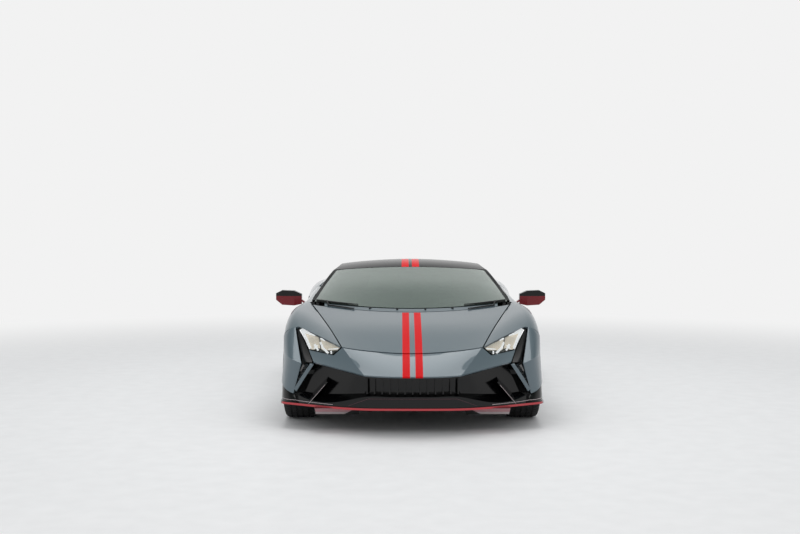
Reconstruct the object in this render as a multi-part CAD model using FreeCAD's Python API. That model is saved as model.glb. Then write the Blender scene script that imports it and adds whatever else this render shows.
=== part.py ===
# A mid-engined two-seat sports car, built as an assembly of its real panels and running gear.
# +X points to the car's own left side, the nose points along -Y and +Z is up.
# The origin is on the floor, midway between the sides and between the nose and the tail.
import FreeCAD
import Part

import functools
import math
import os

from FreeCAD import Vector

os.makedirs("parts", exist_ok=True)

# Driving dimensions, in millimetres.
LENGTH = 4567.0
BODY_WIDTH = 1933.0
HEIGHT = 1165.0
WHEELBASE = 2620.0
FRONT_OVERHANG = 950.0
FRONT_TRACK = 1668.0
REAR_TRACK = 1620.0
RIM_RADIUS = 254.0
FRONT_TYRE_RADIUS = 327.5
REAR_TYRE_RADIUS = 345.5
FRONT_TYRE_WIDTH = 245.0
REAR_TYRE_WIDTH = 305.0
FRONT_ARCH_GAP = 42.0
REAR_ARCH_GAP = 38.0
SHUT_GAP = 5.0
PANEL_THICKNESS = 12.0
DOOR_THICKNESS = 70.0
GLASS_THICKNESS = 5.0
SEAT_CLEARANCE = 0.3
FLOOR_Z = 120.0
FLOOR_THICKNESS = 22.0

# The body was drawn at these sizes. Changing a driving dimension stretches the drawing to fit.
DRAWN_LENGTH = 4567.0
DRAWN_WHEELBASE = 2620.0
DRAWN_OVERHANG = 950.0
DRAWN_WIDTH = 1933.0
DRAWN_HEIGHT = 1165.0

NOSE_Y = -LENGTH / 2
FRONT_AXLE_Y = NOSE_Y + FRONT_OVERHANG
REAR_AXLE_Y = FRONT_AXLE_Y + WHEELBASE
TAIL_Y = LENGTH / 2


def along(station):
    """The real Y of a drawn station, which is a distance behind the nose."""
    if station <= DRAWN_OVERHANG:
        return NOSE_Y + station * FRONT_OVERHANG / DRAWN_OVERHANG
    drawn_rear_axle = DRAWN_OVERHANG + DRAWN_WHEELBASE
    if station <= drawn_rear_axle:
        return FRONT_AXLE_Y + (station - DRAWN_OVERHANG) * WHEELBASE / DRAWN_WHEELBASE
    drawn_tail = DRAWN_LENGTH - drawn_rear_axle
    return REAR_AXLE_Y + (station - drawn_rear_axle) * (TAIL_Y - REAR_AXLE_Y) / drawn_tail


def out(drawn_x):
    """The real X of a drawn half-breadth."""
    return drawn_x * BODY_WIDTH / DRAWN_WIDTH


def up(drawn_z):
    """The real Z of a drawn height."""
    return drawn_z * HEIGHT / DRAWN_HEIGHT


def at(station, x, z):
    """A point of the body drawing: distance behind the nose, half-breadth and height."""
    return Vector(out(x), along(station), up(z))


class Line:
    """A line that runs along the body: (station, half-breadth, height) through a few points, smooth between."""

    def __init__(self, *points):
        self.points = points
        self.stations = [p[0] for p in points]
        self.breadths = self._slopes([p[1] for p in points])
        self.heights = self._slopes([p[2] for p in points])

    def _slopes(self, values):
        """Each value with a slope that never overshoots its neighbours."""
        s = self.stations
        steps = [(values[i + 1] - values[i]) / (s[i + 1] - s[i]) for i in range(len(s) - 1)]
        slopes = [steps[0]]
        for before, after in zip(steps, steps[1:]):
            slopes.append(0.0 if before * after <= 0 else 2 * before * after / (before + after))
        slopes.append(steps[-1])
        return list(zip(values, slopes))

    def _value(self, table, station):
        s = self.stations
        if station <= s[0]:
            return table[0][0] + table[0][1] * (station - s[0])
        if station >= s[-1]:
            return table[-1][0] + table[-1][1] * (station - s[-1])
        i = max(k for k in range(len(s) - 1) if s[k] <= station)
        h = s[i + 1] - s[i]
        t = (station - s[i]) / h
        (v0, m0), (v1, m1) = table[i], table[i + 1]
        rise = v0 * (2 * t**3 - 3 * t**2 + 1) + v1 * (3 * t**2 - 2 * t**3)
        return rise + h * (m0 * (t**3 - 2 * t**2 + t) + m1 * (t**3 - t**2))

    def drawn(self, station):
        """(half-breadth, height) on the drawing."""
        return self._value(self.breadths, station), self._value(self.heights, station)

    def at(self, station):
        x, z = self.drawn(station)
        return at(station, x, z)

    def run(self, stations):
        return [self.at(s) for s in stations]


def between(a, b, share, rise=0.0):
    """A point between two points, lifted by rise at the middle."""
    lift = 4 * share * (1 - share) * rise
    return a + (b - a) * share + Vector(0, 0, lift)


def spread(first, last, count):
    """count evenly spaced values from first to last."""
    return [first + (last - first) * i / (count - 1) for i in range(count)]


def fitted(points, shares):
    """A smooth curve through points at the given parameters."""
    curve = Part.BSplineCurve()
    curve.interpolate(Points=list(points), Parameters=list(shares))
    return curve


def surface(rows, across, along_row):
    """A smooth face through a grid of points. Faces that share a row of points share that edge."""
    row_fits = [fitted(row, along_row) for row in rows]
    columns = zip(*[c.getPoles() for c in row_fits])
    column_fits = [fitted(column, across) for column in columns]
    poles = [list(p) for p in zip(*[c.getPoles() for c in column_fits])]
    u, v = column_fits[0], row_fits[0]
    face = Part.BSplineSurface()
    face.buildFromPolesMultsKnots(poles, u.getMultiplicities(), v.getMultiplicities(), u.getKnots(),
                                  v.getKnots(), False, False, u.Degree, v.Degree)
    return face.toShape()


def blocks(count, creases):
    """Index ranges of a grid, cut where the creases are."""
    cuts = [0, *sorted(creases), count - 1]
    return list(zip(cuts, cuts[1:]))


def inward(grid, i, j, row_cuts, column_cuts, toward):
    """The unit normal at one grid point, on the side of the vector toward, averaged over a crease."""
    total = Vector()
    for (r0, r1) in row_cuts:
        for (c0, c1) in column_cuts:
            if not (r0 <= i <= r1 and c0 <= j <= c1):
                continue
            du = grid[min(i + 1, r1)][j] - grid[max(i - 1, r0)][j]
            dv = grid[i][min(j + 1, c1)] - grid[i][max(j - 1, c0)]
            n = du.cross(dv)
            if n.Length > 1e-6:
                n.normalize()
                total += n if n.dot(toward) > 0 else n * -1
    total.normalize()
    return total


def closed_solid(faces):
    """One solid from faces that meet edge to edge."""
    shell = Part.Shell(faces)
    shell.sewShape()
    solid = Part.Solid(shell)
    if solid.Volume < 0:
        solid.reverse()
    return solid


def skin(grid, thickness, toward, row_creases=(), column_creases=(), inner=None):
    """A panel: an outer skin through the grid, an inner skin one thickness in, and the edges that join them."""
    row_cuts = blocks(len(grid), row_creases)
    column_cuts = blocks(len(grid[0]), column_creases)
    if inner is None:
        inner = [[p + inward(grid, i, j, row_cuts, column_cuts, toward) * thickness
                  for j, p in enumerate(row)] for i, row in enumerate(grid)]
    across = spread(0, 1, len(grid))
    length = spread(0, 1, len(grid[0]))
    faces = []
    for (r0, r1) in row_cuts:
        for (c0, c1) in column_cuts:
            for sheet in (grid, inner):
                block = [row[c0:c1 + 1] for row in sheet[r0:r1 + 1]]
                faces.append(surface(block, across[r0:r1 + 1], length[c0:c1 + 1]))
    for i in (0, len(grid) - 1):
        for (c0, c1) in column_cuts:
            edges = [fitted(sheet[i][c0:c1 + 1], length[c0:c1 + 1]).toShape() for sheet in (grid, inner)]
            faces.append(Part.makeRuledSurface(*edges))
    for j in (0, len(grid[0]) - 1):
        for (r0, r1) in row_cuts:
            edges = [fitted([row[j] for row in sheet[r0:r1 + 1]], across[r0:r1 + 1]).toShape()
                     for sheet in (grid, inner)]
            faces.append(Part.makeRuledSurface(*edges))
    return closed_solid(faces)


DOWN = Vector(0, 0, -1)
UP = Vector(0, 0, 1)
LEFT = Vector(-1, 0, 0)
BACK = Vector(0, 1, 0)
ORIGIN = Vector()


def mirrored(shape):
    """The same piece on the other side of the car."""
    return shape.mirror(ORIGIN, Vector(1, 0, 0))


def both(shape):
    """A piece and its mirror image, as two solids that don't touch."""
    return Part.Compound([shape, mirrored(shape)])


written = []


def save(name, shape):
    """Writes one sub-part from its solids."""
    solids = shape.Solids
    piece = solids[0] if len(solids) == 1 else Part.Compound(solids)
    piece.exportStep(f"parts/{name}.step")
    written.append(name)
    good = all(s.isValid() and s.Volume > 0 for s in solids)
    print(f"{name}: {len(solids)} solids, {piece.Volume / 1e6:.2f} litres, {'ok' if good else 'BAD'}")

# The lines of the body drawing. Each runs along the car on its left half.
CENTRE = Line((15, 0, 418), (120, 0, 487), (255, 0, 554), (400, 0, 606), (700, 0, 697), (950, 0, 752),
              (1100, 0, 782), (1200, 0, 804))
HOOD_EDGE = Line((355, 500, 588), (700, 594, 680), (950, 662, 736), (1150, 717, 778), (1450, 798, 838))
CREST = Line((740, 842, 700), (950, 868, 765), (1150, 872, 806), (1450, 842, 840), (1900, 828, 868),
             (2600, 818, 915), (3000, 835, 940), (3570, 860, 925), (4200, 845, 890), (4480, 820, 862))
SHOULDER = Line((740, 940, 658), (950, 950, 722), (1150, 948, 755), (1450, 905, 787), (1900, 880, 810),
                (2600, 880, 850), (3000, 915, 865), (3570, 935, 860), (4200, 905, 835), (4480, 860, 815))
WAIST = Line((600, 950, 560), (740, 960, 575), (950, 966, 600), (1350, 950, 625), (1900, 915, 680),
             (2600, 925, 720), (3150, 958, 745), (3570, 966.5, 750), (4200, 935, 740), (4500, 880, 730))
PINCH = Line((600, 952, 420), (950, 958, 430), (1350, 920, 440), (1500, 890, 440), (1900, 866, 455),
             (2600, 885, 470), (3150, 945, 480), (3570, 960, 480), (4200, 935, 470), (4500, 885, 460))
SILL_TOP = Line((600, 950, 290), (1350, 905, 285), (1500, 885, 280), (1900, 872, 275), (2600, 892, 275),
                (3150, 940, 285), (4500, 880, 300))
SILL_EDGE = Line((1350, 915, 190), (1900, 910, 185), (2600, 925, 185), (3150, 950, 190))
SILL_FOOT = Line((1350, 890, 140), (1900, 890, 135), (2600, 905, 135), (3150, 930, 140))
RAIL = Line((1450, 800, 850), (1700, 752, 937), (1900, 704, 1014), (2100, 652, 1083), (2250, 614, 1112),
            (2450, 600, 1124), (2650, 594, 1109), (2850, 588, 1062), (3100, 580, 1010))
ROOF = Line((2010, 0, 1108), (2200, 0, 1150), (2400, 0, 1165), (2650, 0, 1158), (2850, 0, 1125))
SCREEN_BED = 0.6                       # room between the windscreen and its pillars
SCREEN_EDGE = Line((1450, 772, 850), (1740, 713, 954), (1900, 674, 1013), (2080, 628, 1078))
SCREEN_CENTRE = Line((1200, 0, 812), (1600, 0, 970), (2010, 0, 1108))
BUTTRESS = Line((2850, 588, 1062), (3100, 585, 1010), (3500, 600, 958), (4000, 620, 918), (4330, 610, 890))
DECK_EDGE = Line((2800, 520, 1075), (3100, 512, 1028), (3500, 500, 978), (3900, 482, 930), (4180, 466, 900))
DECK_CENTRE = Line((2800, 0, 1118), (3100, 0, 1070), (3500, 0, 1012), (3900, 0, 950), (4180, 0, 912))

# Where the panels meet, as drawn stations from the bottom line of the side up to the belt.
DOOR_FRONT = (1545, 1525, 1500, 1488, 1476)
DOOR_REAR = (2560, 2610, 2650, 2629, 2606)
SIDE_LINES = (SILL_TOP, PINCH, WAIST, SHOULDER, CREST)


def crowned(edge, centre, stations, shares, lead=0.0, tail=0.0, power=2.0):
    """A grid across the car: each row holds one share of the half-breadth, swept forward at the middle."""
    rows = []
    first, last = stations[0], stations[-1]
    for share in shares:
        row = []
        for station in stations:
            t = (station - first) / (last - first)
            swept = station - (lead * (1 - t) + tail * t) * (1 - abs(share) ** power)
            edge_x, edge_z = edge.drawn(station)
            centre_z = centre.drawn(swept)[1]
            edge_rise = edge_z - centre.drawn(station)[1]
            row.append(at(swept, edge_x * share, centre_z + edge_rise * abs(share) ** power))
        rows.append(row)
    return rows


ACROSS = (-1.0, -0.55, 0.0, 0.55, 1.0)


def cylinder_x(radius, x0, x1, y, z):
    """A round bar along X."""
    return Part.makeCylinder(radius, x1 - x0, Vector(x0, y, z), Vector(1, 0, 0))


def cylinder_z(radius, z0, z1, x, y):
    """A round bar along Z."""
    return Part.makeCylinder(radius, z1 - z0, Vector(x, y, z0), UP)


def rod(a, b, radius):
    """A round bar from one point to another."""
    return Part.makeCylinder(radius, (b - a).Length, a, b - a)


def box(x0, x1, y0, y1, z0, z1):
    return Part.makeBox(x1 - x0, y1 - y0, z1 - z0, Vector(x0, y0, z0))


def block(x0, x1, s0, s1, z0, z1):
    """A box between drawn half-breadths, stations and heights."""
    return box(out(x0), out(x1), along(s0), along(s1), up(z0), up(z1))


def polygon(points):
    return Part.Face(Part.makePolygon([*points, points[0]]))


def prism_x(outline, x0, x1):
    """A straight block along X from an outline of drawn (station, height) points."""
    return polygon([Vector(out(x0), along(s), up(z)) for s, z in outline]).extrude(Vector(out(x1) - out(x0), 0, 0))


def plate_x(outline, x0, x1):
    """A plate across X between real positions, from an outline of drawn (station, height) points."""
    return polygon([Vector(x0, along(s), up(z)) for s, z in outline]).extrude(Vector(x1 - x0, 0, 0))


def prism_y(outline, s0, s1):
    """A straight block along Y from an outline of drawn (half-breadth, height) points."""
    return polygon([Vector(out(x), along(s0), up(z)) for x, z in outline]).extrude(
        Vector(0, along(s1) - along(s0), 0))


def prism_z(outline, z0, z1):
    """A straight block along Z from an outline of drawn (half-breadth, station) points."""
    return polygon([Vector(out(x), along(s), up(z0)) for x, s in outline]).extrude(Vector(0, 0, up(z1) - up(z0)))


def drawn(points):
    return [at(*p) for p in points]


def mirrored_row(points):
    """A row across the car from its left half: the first point is on the centre line."""
    return [Vector(-p.x, p.y, p.z) for p in reversed(points[1:])] + list(points)


def seated(post, panels, shift, root):
    """A post trimmed to stop a seat's clearance short of the panels that it carries."""
    for panel in panels:
        trimmed = post.cut(panel).cut(panel.translated(shift * SEAT_CLEARANCE))
        post = min(trimmed.Solids, key=lambda s: s.distToShape(Part.Vertex(root))[0])
    return post


def clear_of(piece, moving, shifts):
    """A piece with room cut in it for another that is shifted by each of the vectors; its largest part is kept."""
    for shift in shifts:
        piece = piece.cut(moving.translated(shift))
    return max(piece.Solids, key=lambda s: s.Volume)


FRONT_ARCH = FRONT_TYRE_RADIUS + FRONT_ARCH_GAP
REAR_ARCH = REAR_TYRE_RADIUS + REAR_ARCH_GAP
LINER_THICKNESS = 4.0
FAR = 1500.0


def front_arch():
    return cylinder_x(FRONT_ARCH, 400, FAR, FRONT_AXLE_Y, FRONT_TYRE_RADIUS)


def rear_arch():
    return cylinder_x(REAR_ARCH, 400, FAR, REAR_AXLE_Y, REAR_TYRE_RADIUS)


def slanted(lines, fronts, rears, count):
    """A grid whose rows follow lines, each between its own first and last station."""
    return [line.run(spread(front, rear, count)) for line, front, rear in zip(lines, fronts, rears)]


# The lids

HOOD_FRONT = 359
HOOD_REAR = 1390
HOOD_NOSE_SWEEP = 100
HOOD_TAIL_SWEEP = 280
LID_THICKNESS = 22
LID_FRONT = 2850
LID_REAR = 4180
LID_SIDE_GAP = 9
LOUVRES = 6
HINGE_PIN = 5.0
HINGE_EYE = 10.0
HINGE_PLAY = 0.1
HINGE_LEAF = 8.0
HINGE_CLEAR = 2.0
HOOD_HINGE = (1425, 735, 800)
LID_HINGE = (2862, 430, 1040)


def leaf(place, outline):
    """The moving leaf of a lid's left hinge: a plate from the lid to the eye round the pin."""
    x0 = out(place[1]) - HINGE_LEAF / 2
    x1 = x0 + HINGE_LEAF
    plate = plate_x(outline, x0, x1).fuse(cylinder_x(HINGE_EYE, x0, x1, along(place[0]), up(place[2])))
    return plate.cut(cylinder_x(HINGE_PIN + HINGE_PLAY, x0 - 1, x1 + 1, along(place[0]), up(place[2])))


def ears(place, outline):
    """The fixed half of a lid's left hinge: two ears either side of the leaf, and the pin through them."""
    middle = out(place[1])
    inner = HINGE_LEAF / 2 + HINGE_CLEAR
    outer = inner + HINGE_LEAF
    y, z = along(place[0]), up(place[2])
    parts = [cylinder_x(HINGE_PIN, middle - outer, middle + outer, y, z)]
    for x0, x1 in ((middle - outer, middle - inner), (middle + inner, middle + outer)):
        parts.append(plate_x(outline, x0, x1))
        parts.append(cylinder_x(HINGE_EYE, x0, x1, y, z))
    return parts[0].fuse(parts[1:])


# The room in front of the lid, under it and beside it, as shifts of the lid.
HOOD_ROOM = (Vector(0, -SHUT_GAP, 0), Vector(0, -SHUT_GAP, -SHUT_GAP), Vector(0, 0, -SHUT_GAP))
HOOD_SIDE_ROOM = (Vector(SHUT_GAP, 0, 0), Vector(SHUT_GAP, 0, -SHUT_GAP), Vector(SHUT_GAP, -SHUT_GAP, 0),
                  Vector(SHUT_GAP, -SHUT_GAP, -SHUT_GAP))

HOOD_LEAF = ((1300, 788), (1425, 790), (1425, 810), (1372, 808), (1330, 804))
HOOD_EARS = ((1345, 690), (1345, 745), (1421, 809), (1434, 803), (1434, 792), (1372, 690))
LID_LEAF = ((2868, 1031), (2940, 1040), (2940, 1060), (2900, 1066), (2860, 1050))
LID_EARS = ((2705, 700), (2705, 850), (2854, 1046), (2866, 1049), (2871, 1037), (2740, 780), (2725, 700))


@functools.cache
def hood():
    """The front lid, from the shut line on the nose to the foot of the windscreen."""
    grid = crowned(HOOD_EDGE, CENTRE, spread(HOOD_FRONT, HOOD_REAR, 6), ACROSS, lead=HOOD_NOSE_SWEEP,
                   tail=HOOD_TAIL_SWEEP)
    arm = leaf(HOOD_HINGE, HOOD_LEAF)
    return skin(grid, LID_THICKNESS, DOWN).fuse([arm, mirrored(arm)])


@functools.cache
def engine_lid():
    """The lid over the engine, with the louvres that let the heat out."""
    grid = crowned(DECK_EDGE, DECK_CENTRE, spread(LID_FRONT, LID_REAR, 6), ACROSS)
    lid = skin(grid, LID_THICKNESS, DOWN)
    slots = []
    for i in range(LOUVRES):
        s = 3000 + 175 * i
        half = 380 - 12 * i
        slots.append(prism_z([(-half, s), (0, s + 60), (half, s), (half - 30, s + 70), (0, s + 135),
                              (30 - half, s + 70)], 700, 1300))
    arm = leaf(LID_HINGE, LID_LEAF)
    return lid.cut(Part.Compound(slots)).fuse([arm, mirrored(arm)])


@functools.cache
def fender():
    """The left front wing: its top from the lid's shut line to the crest, and its side down to the sill."""
    gap = DOOR_GAP
    lines = (HOOD_EDGE, CREST, SHOULDER, WAIST, PINCH, SILL_TOP)
    fronts = (365, 750, 757, 760, 760, 760)
    rears = (1440, 1470, 1488 - gap, 1500 - gap, 1525 - gap, 1545 - gap)
    rows = slanted(lines, fronts, rears, 7)
    step = Vector(out(gap), 0, 0)
    rows[0] = [p + step for p in rows[0]]
    middle = [between(a, b, 0.5, 4) for a, b in zip(rows[0], rows[1])]
    grid = [rows[0], middle, *rows[1:]]
    return skin(grid, PANEL_THICKNESS, Vector(-0.5, 0, -0.6), row_creases=(2,)).cut(front_arch())


@functools.cache
def cowl():
    """The strip between the front lid and the windscreen."""
    front, rear = [], []
    for share in ACROSS:
        k = share * share
        edge_x = HOOD_EDGE.drawn(HOOD_REAR)[0]
        s = HOOD_REAR - HOOD_TAIL_SWEEP * (1 - k * 0.77) + 13
        edge_z = HOOD_EDGE.drawn(HOOD_REAR)[1] - CENTRE.drawn(HOOD_REAR)[1]
        front.append(at(s, edge_x * 0.88 * share, CENTRE.drawn(s)[1] + edge_z * k * 0.77))
        rear.append(at(1200 + 250 * k * 0.8 - 12, 690 * share, 806 + 30 * k))
    return skin([front, rear], 10, DOWN)


# The cabin's outside

DOOR_GAP = SHUT_GAP + 4.5
BELT_WIDTHS = (26, 58, 62, 62, 62)
BELT_REAR_INSET = 12
GLASS_SLOT = 14
GLASS_INSET = 30


def door_grid():
    """The door's outer skin, and the belt beside the window as its last row."""
    grid = slanted(SIDE_LINES, DOOR_FRONT, DOOR_REAR, 5)
    belt = [p + Vector(-width, 0, -3) for p, width in zip(grid[-1], BELT_WIDTHS)]
    belt[-1] = belt[-1] - Vector(0, BELT_REAR_INSET, 0)
    grid.append(belt)
    return grid


DOOR_HINGE_X = 896
DOOR_HINGE_S = 1438
DOOR_HINGE_HEIGHTS = (575, 690)
DOOR_SWING_ROOM = 12.0
DOOR_SHUT_SLOPE = 40.0

# Plan outlines round a door's hinge axis, as (out from the axis, back from the axis).
GOOSENECK = ((8, -8), (9, 6), (-4, 11), (-50, 26), (-58, 60), (-36, 118), (-60, 118), (-78, 60), (-70, 12), (-8, -9))
HINGE_BRACKET = ((9, -4), (7, 8), (-7, 8), (-12, -2), (-60, -30), (-60, -75), (0, -75))


def hinge_plate(outline, z0, z1):
    """A flat piece of a door hinge from a plan outline about the hinge axis."""
    x, y = out(DOOR_HINGE_X), along(DOOR_HINGE_S)
    face = polygon([Vector(x + dx, y + dy, z0) for dx, dy in outline])
    return face.extrude(Vector(0, 0, z1 - z0))


def gooseneck(z):
    """The moving half of a door hinge, curved to pass behind the wing's edge."""
    low = up(z) - HINGE_LEAF
    x, y = out(DOOR_HINGE_X), along(DOOR_HINGE_S)
    plate = hinge_plate(GOOSENECK, low, low + 2 * HINGE_LEAF)
    return plate.cut(cylinder_z(HINGE_PIN + HINGE_PLAY, low - 1, low + 2 * HINGE_LEAF + 1, x, y))


def door_hinge_fixed(z):
    """The fixed half of a door hinge: two plates either side of the gooseneck, and the pin."""
    x, y = out(DOOR_HINGE_X), along(DOOR_HINGE_S)
    near, far = HINGE_LEAF + HINGE_CLEAR, 2 * HINGE_LEAF + HINGE_CLEAR
    plates = [hinge_plate(HINGE_BRACKET, up(z) - far, up(z) - near),
              hinge_plate(HINGE_BRACKET, up(z) + near, up(z) + far)]
    return cylinder_z(HINGE_PIN, up(z) - far, up(z) + far, x, y).fuse(plates)


def door_inner(grid):
    """The inner face of the door, drawn forward at its rear so that it swings clear."""
    row_cuts = blocks(len(grid), (2, 4))
    column_cuts = blocks(len(grid[0]), ())
    inner = []
    for i, row in enumerate(grid):
        depth = DOOR_THICKNESS if i < 4 else 30
        points = [p + inward(grid, i, j, row_cuts, column_cuts, Vector(-1, 0, -0.4)) * depth
                  for j, p in enumerate(row)]
        points[0] = points[0] + Vector(0, DOOR_SHUT_SLOPE, 0)
        points[-1] = points[-1] - Vector(0, DOOR_SWING_ROOM, 0)
        inner.append(points)
    return inner


def glass_rows(sink):
    """The rows of the side window, from its foot in the door to its top under the roof's rail."""
    belt = [CREST.at(s) + Vector(-GLASS_INSET, 0, -2) for s in spread(1590, 2580, 6)]
    rail = [RAIL.at(s) for s in spread(1630, 2545, 6)]
    middle = [between(b, r, 0.5, 8) for b, r in zip(belt, rail)]
    top = [between(b, r, 0.92) for b, r in zip(belt, rail)]
    foot = [b + (b - m) * (sink / (b - m).Length) for b, m in zip(belt, middle)]
    return [foot, middle, top]


def door_glass():
    """The frameless side window, which stands in the door, clear of the windscreen pillar."""
    pane = skin(glass_rows(GLASS_SLOT - 1), GLASS_THICKNESS, Vector(-1, 0, -0.6))
    room = (ORIGIN, DOWN * SHUT_GAP, Vector(SHUT_GAP, 0, 0), Vector(0, SHUT_GAP, -SHUT_GAP))
    return clear_of(pane, pillar(), room)


@functools.cache
def door():
    """The left door, outer skin to inner trim, from the sill to the belt, with a slot for its window."""
    grid = door_grid()
    solid = skin(grid, DOOR_THICKNESS, LEFT, row_creases=(2, 4), inner=door_inner(grid))
    slot = skin(glass_rows(GLASS_SLOT), GLASS_THICKNESS + 2 * SEAT_CLEARANCE, Vector(-1, 0, -0.6))
    solid = solid.cut(slot.translated(Vector(SEAT_CLEARANCE, 0, 0.2)))
    return solid.fuse([gooseneck(z) for z in DOOR_HINGE_HEIGHTS])


def screen_rows():
    rows = []
    for share in (-1.0, -0.6, 0.0, 0.6, 1.0):
        row = []
        for t in spread(0, 1, 5):
            edge_s = 1450 + 630 * t
            centre_s = 1200 + 810 * t
            ex, ez = SCREEN_EDGE.drawn(edge_s)
            cz = SCREEN_CENTRE.drawn(centre_s)[1]
            k = share * share
            row.append(at(centre_s + (edge_s - centre_s) * k, ex * share, cz + (ez - cz) * k))
        rows.append(row)
    return rows


@functools.cache
def windscreen():
    return skin(screen_rows(), GLASS_THICKNESS, DOWN)


@functools.cache
def roof():
    rows = []
    for share in (-1.0, -0.6, 0.0, 0.6, 1.0):
        row = []
        for t in spread(0, 1, 5):
            edge_s = 2090 + 695 * t
            centre_s = 2018 + 762 * t
            ex, ez = RAIL.drawn(edge_s)
            cz = ROOF.drawn(centre_s)[1]
            k = share * share
            row.append(at(centre_s + (edge_s - centre_s) * k, ex * share, cz + (ez - cz) * k))
        rows.append(row)
    return skin(rows, 14, DOWN)


@functools.cache
def pillar():
    """The left windscreen pillar."""
    outer = RAIL.run(spread(1475, 2086, 5))
    inner = [SCREEN_EDGE.at(s) + Vector(SCREEN_BED, 0, 0) for s in spread(1470, 2076, 5)]
    return skin([outer, inner], 30, Vector(-0.5, 0, -1))


@functools.cache
def sail():
    """The dark panel behind the left side window."""
    low = [CREST.at(2592) + Vector(-GLASS_INSET, 0, 11), CREST.at(2612) + Vector(-22, 0, 11)]
    high = [RAIL.at(2560) - Vector(0, 0, 19), RAIL.at(2775) - Vector(0, 0, 19)]
    return skin([low, high], 8, Vector(-1, 0, -0.6))


HAUNCH_RISE = 14


@functools.cache
def quarter():
    """The left rear quarter: flank, haunch and the buttress beside the engine lid."""
    gap = SHUT_GAP + 1
    lines = (SILL_TOP, PINCH, WAIST, SHOULDER, CREST, BUTTRESS, DECK_EDGE)
    fronts = (2560 + gap, 2610 + gap, 2650 + gap, 2632 + gap, 2614 + gap, 2810, 2812)
    rears = (4330, 4335, 4335, 4330, 4320, 4250, 4200)
    grid = slanted(lines, fronts, rears, 8)
    grid[-1] = [p + Vector(LID_SIDE_GAP, 0, 0) for p in grid[-1]]
    grid.insert(5, [between(a, b, 0.5, HAUNCH_RISE) for a, b in zip(grid[4], grid[5])])
    solid = skin(grid, PANEL_THICKNESS, Vector(-0.6, 0, -0.4), row_creases=(2, 4, 6))
    intake = prism_x([(2720, 560), (2760, 820), (3040, 800), (2960, 600)], 850, 1100)
    return solid.cut(rear_arch()).cut(intake)


@functools.cache
def sill():
    """The left side sill."""
    lines = (SILL_TOP, SILL_EDGE, SILL_FOOT)
    grid = slanted(lines, (1340, 1340, 1340), (3165, 3165, 3165), 5)
    grid[0] = [p - Vector(0, 0, DOOR_GAP + 1) for p in grid[0]]
    return skin(grid, 40, LEFT, row_creases=(1,)).cut(front_arch()).cut(rear_arch())


# The nose. These are corners of its folds: the lip over the mouth, the shut line of the lid, and the lamp.
NOSE_LIP = ((15, 0, 418), (30, 168, 418), (70, 335, 422))
NOSE_MIDDLE = ((130, 0, 494), (150, 210, 497), (212, 418, 502))
NOSE_SHUT = ((250, 0, 549), (276, 250, 558), (345, 492, 583))
LAMP_TIP = (355, 500, 589)
LAMP_TOP = (740, 842, 702)
LAMP_OUTER = (500, 750, 556)
LAMP_LOWER = (335, 565, 533)
VANE_KNEE = (352, 706, 486)
VANE_TOP = (745, 868, 700)
VANE_BEND = (600, 838, 590)
VANE_ELBOW = (455, 803, 463)


def lamp_opening(grow):
    """The lamp's outline as seen from in front, cut right through."""
    corners = (LAMP_TIP, LAMP_TOP, LAMP_OUTER, LAMP_LOWER)
    middle_x = sum(p[1] for p in corners) / 4
    middle_z = sum(p[2] for p in corners) / 4
    outline = []
    for _, x, z in corners:
        reach = math.hypot(x - middle_x, z - middle_z)
        outline.append((x + (x - middle_x) / reach * grow, z + (z - middle_z) / reach * grow))
    return prism_y(outline, -50, 950)


@functools.cache
def nose():
    """The painted nose between the lip and the lid, with the facet below each lamp."""
    side = [at(*VANE_KNEE), between(at(*VANE_KNEE), at(*LAMP_OUTER), 0.5), at(*LAMP_OUTER)]
    rows = [mirrored_row([*drawn(points), end])
            for points, end in zip((NOSE_LIP, NOSE_MIDDLE, NOSE_SHUT), side)]
    solid = skin(rows, PANEL_THICKNESS, BACK, column_creases=(1, 5))
    hole = lamp_opening(4)
    other_side = [Vector(-v.x, v.y, v.z) for v in HOOD_SIDE_ROOM]
    return clear_of(solid.cut(hole).cut(mirrored(hole)), hood(), (*HOOD_ROOM, *HOOD_SIDE_ROOM, *other_side))


@functools.cache
def bumper_corner():
    """The painted corner beside the left wheel."""
    rows = [
        drawn([VANE_TOP, (744, 904, 688), (746, 940, 658)]),
        drawn([VANE_BEND, (650, 915, 612), (746, 959, 620)]),
        drawn([VANE_ELBOW, (526, 908, 508), (746, 961, 548)]),
        drawn([(440, 858, 246), (494, 930, 284), (640, 960, 340)]),
    ]
    return skin(rows, PANEL_THICKNESS, Vector(-1, 0.6, 0), row_creases=(2,)).cut(front_arch())


@functools.cache
def blade():
    """The thin painted blade along the inside of the vane's lower leg."""
    inner = drawn([(349, 706, 462), (395, 770, 365), (430, 836, 262)])
    outer = drawn([(354, 734, 464), (398, 795, 375), (434, 852, 280)])
    return skin([inner, outer], 22, BACK).cut(nose().translated(DOWN * SEAT_CLEARANCE))


@functools.cache
def vane():
    """The black blade that falls from the lamp and parts round the intake."""
    inner = drawn([(753, 849, 694), (522, 760, 556), (368, 716, 478)])
    outer = drawn([(760, 858, 691), (622, 828, 585), (476, 788, 470)])
    upper = skin([inner, outer], 10, BACK)
    leg_inner = drawn([(380, 744, 463), (456, 851, 296)])
    leg_outer = drawn([(480, 786, 463), (464, 857, 304)])
    leg = skin([leg_inner, leg_outer], 8, BACK)
    corner = bumper_corner().translated(LEFT * SEAT_CLEARANCE)
    return upper.cut(corner).cut(fender().translated(DOWN * SEAT_CLEARANCE)), leg.cut(corner)


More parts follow.
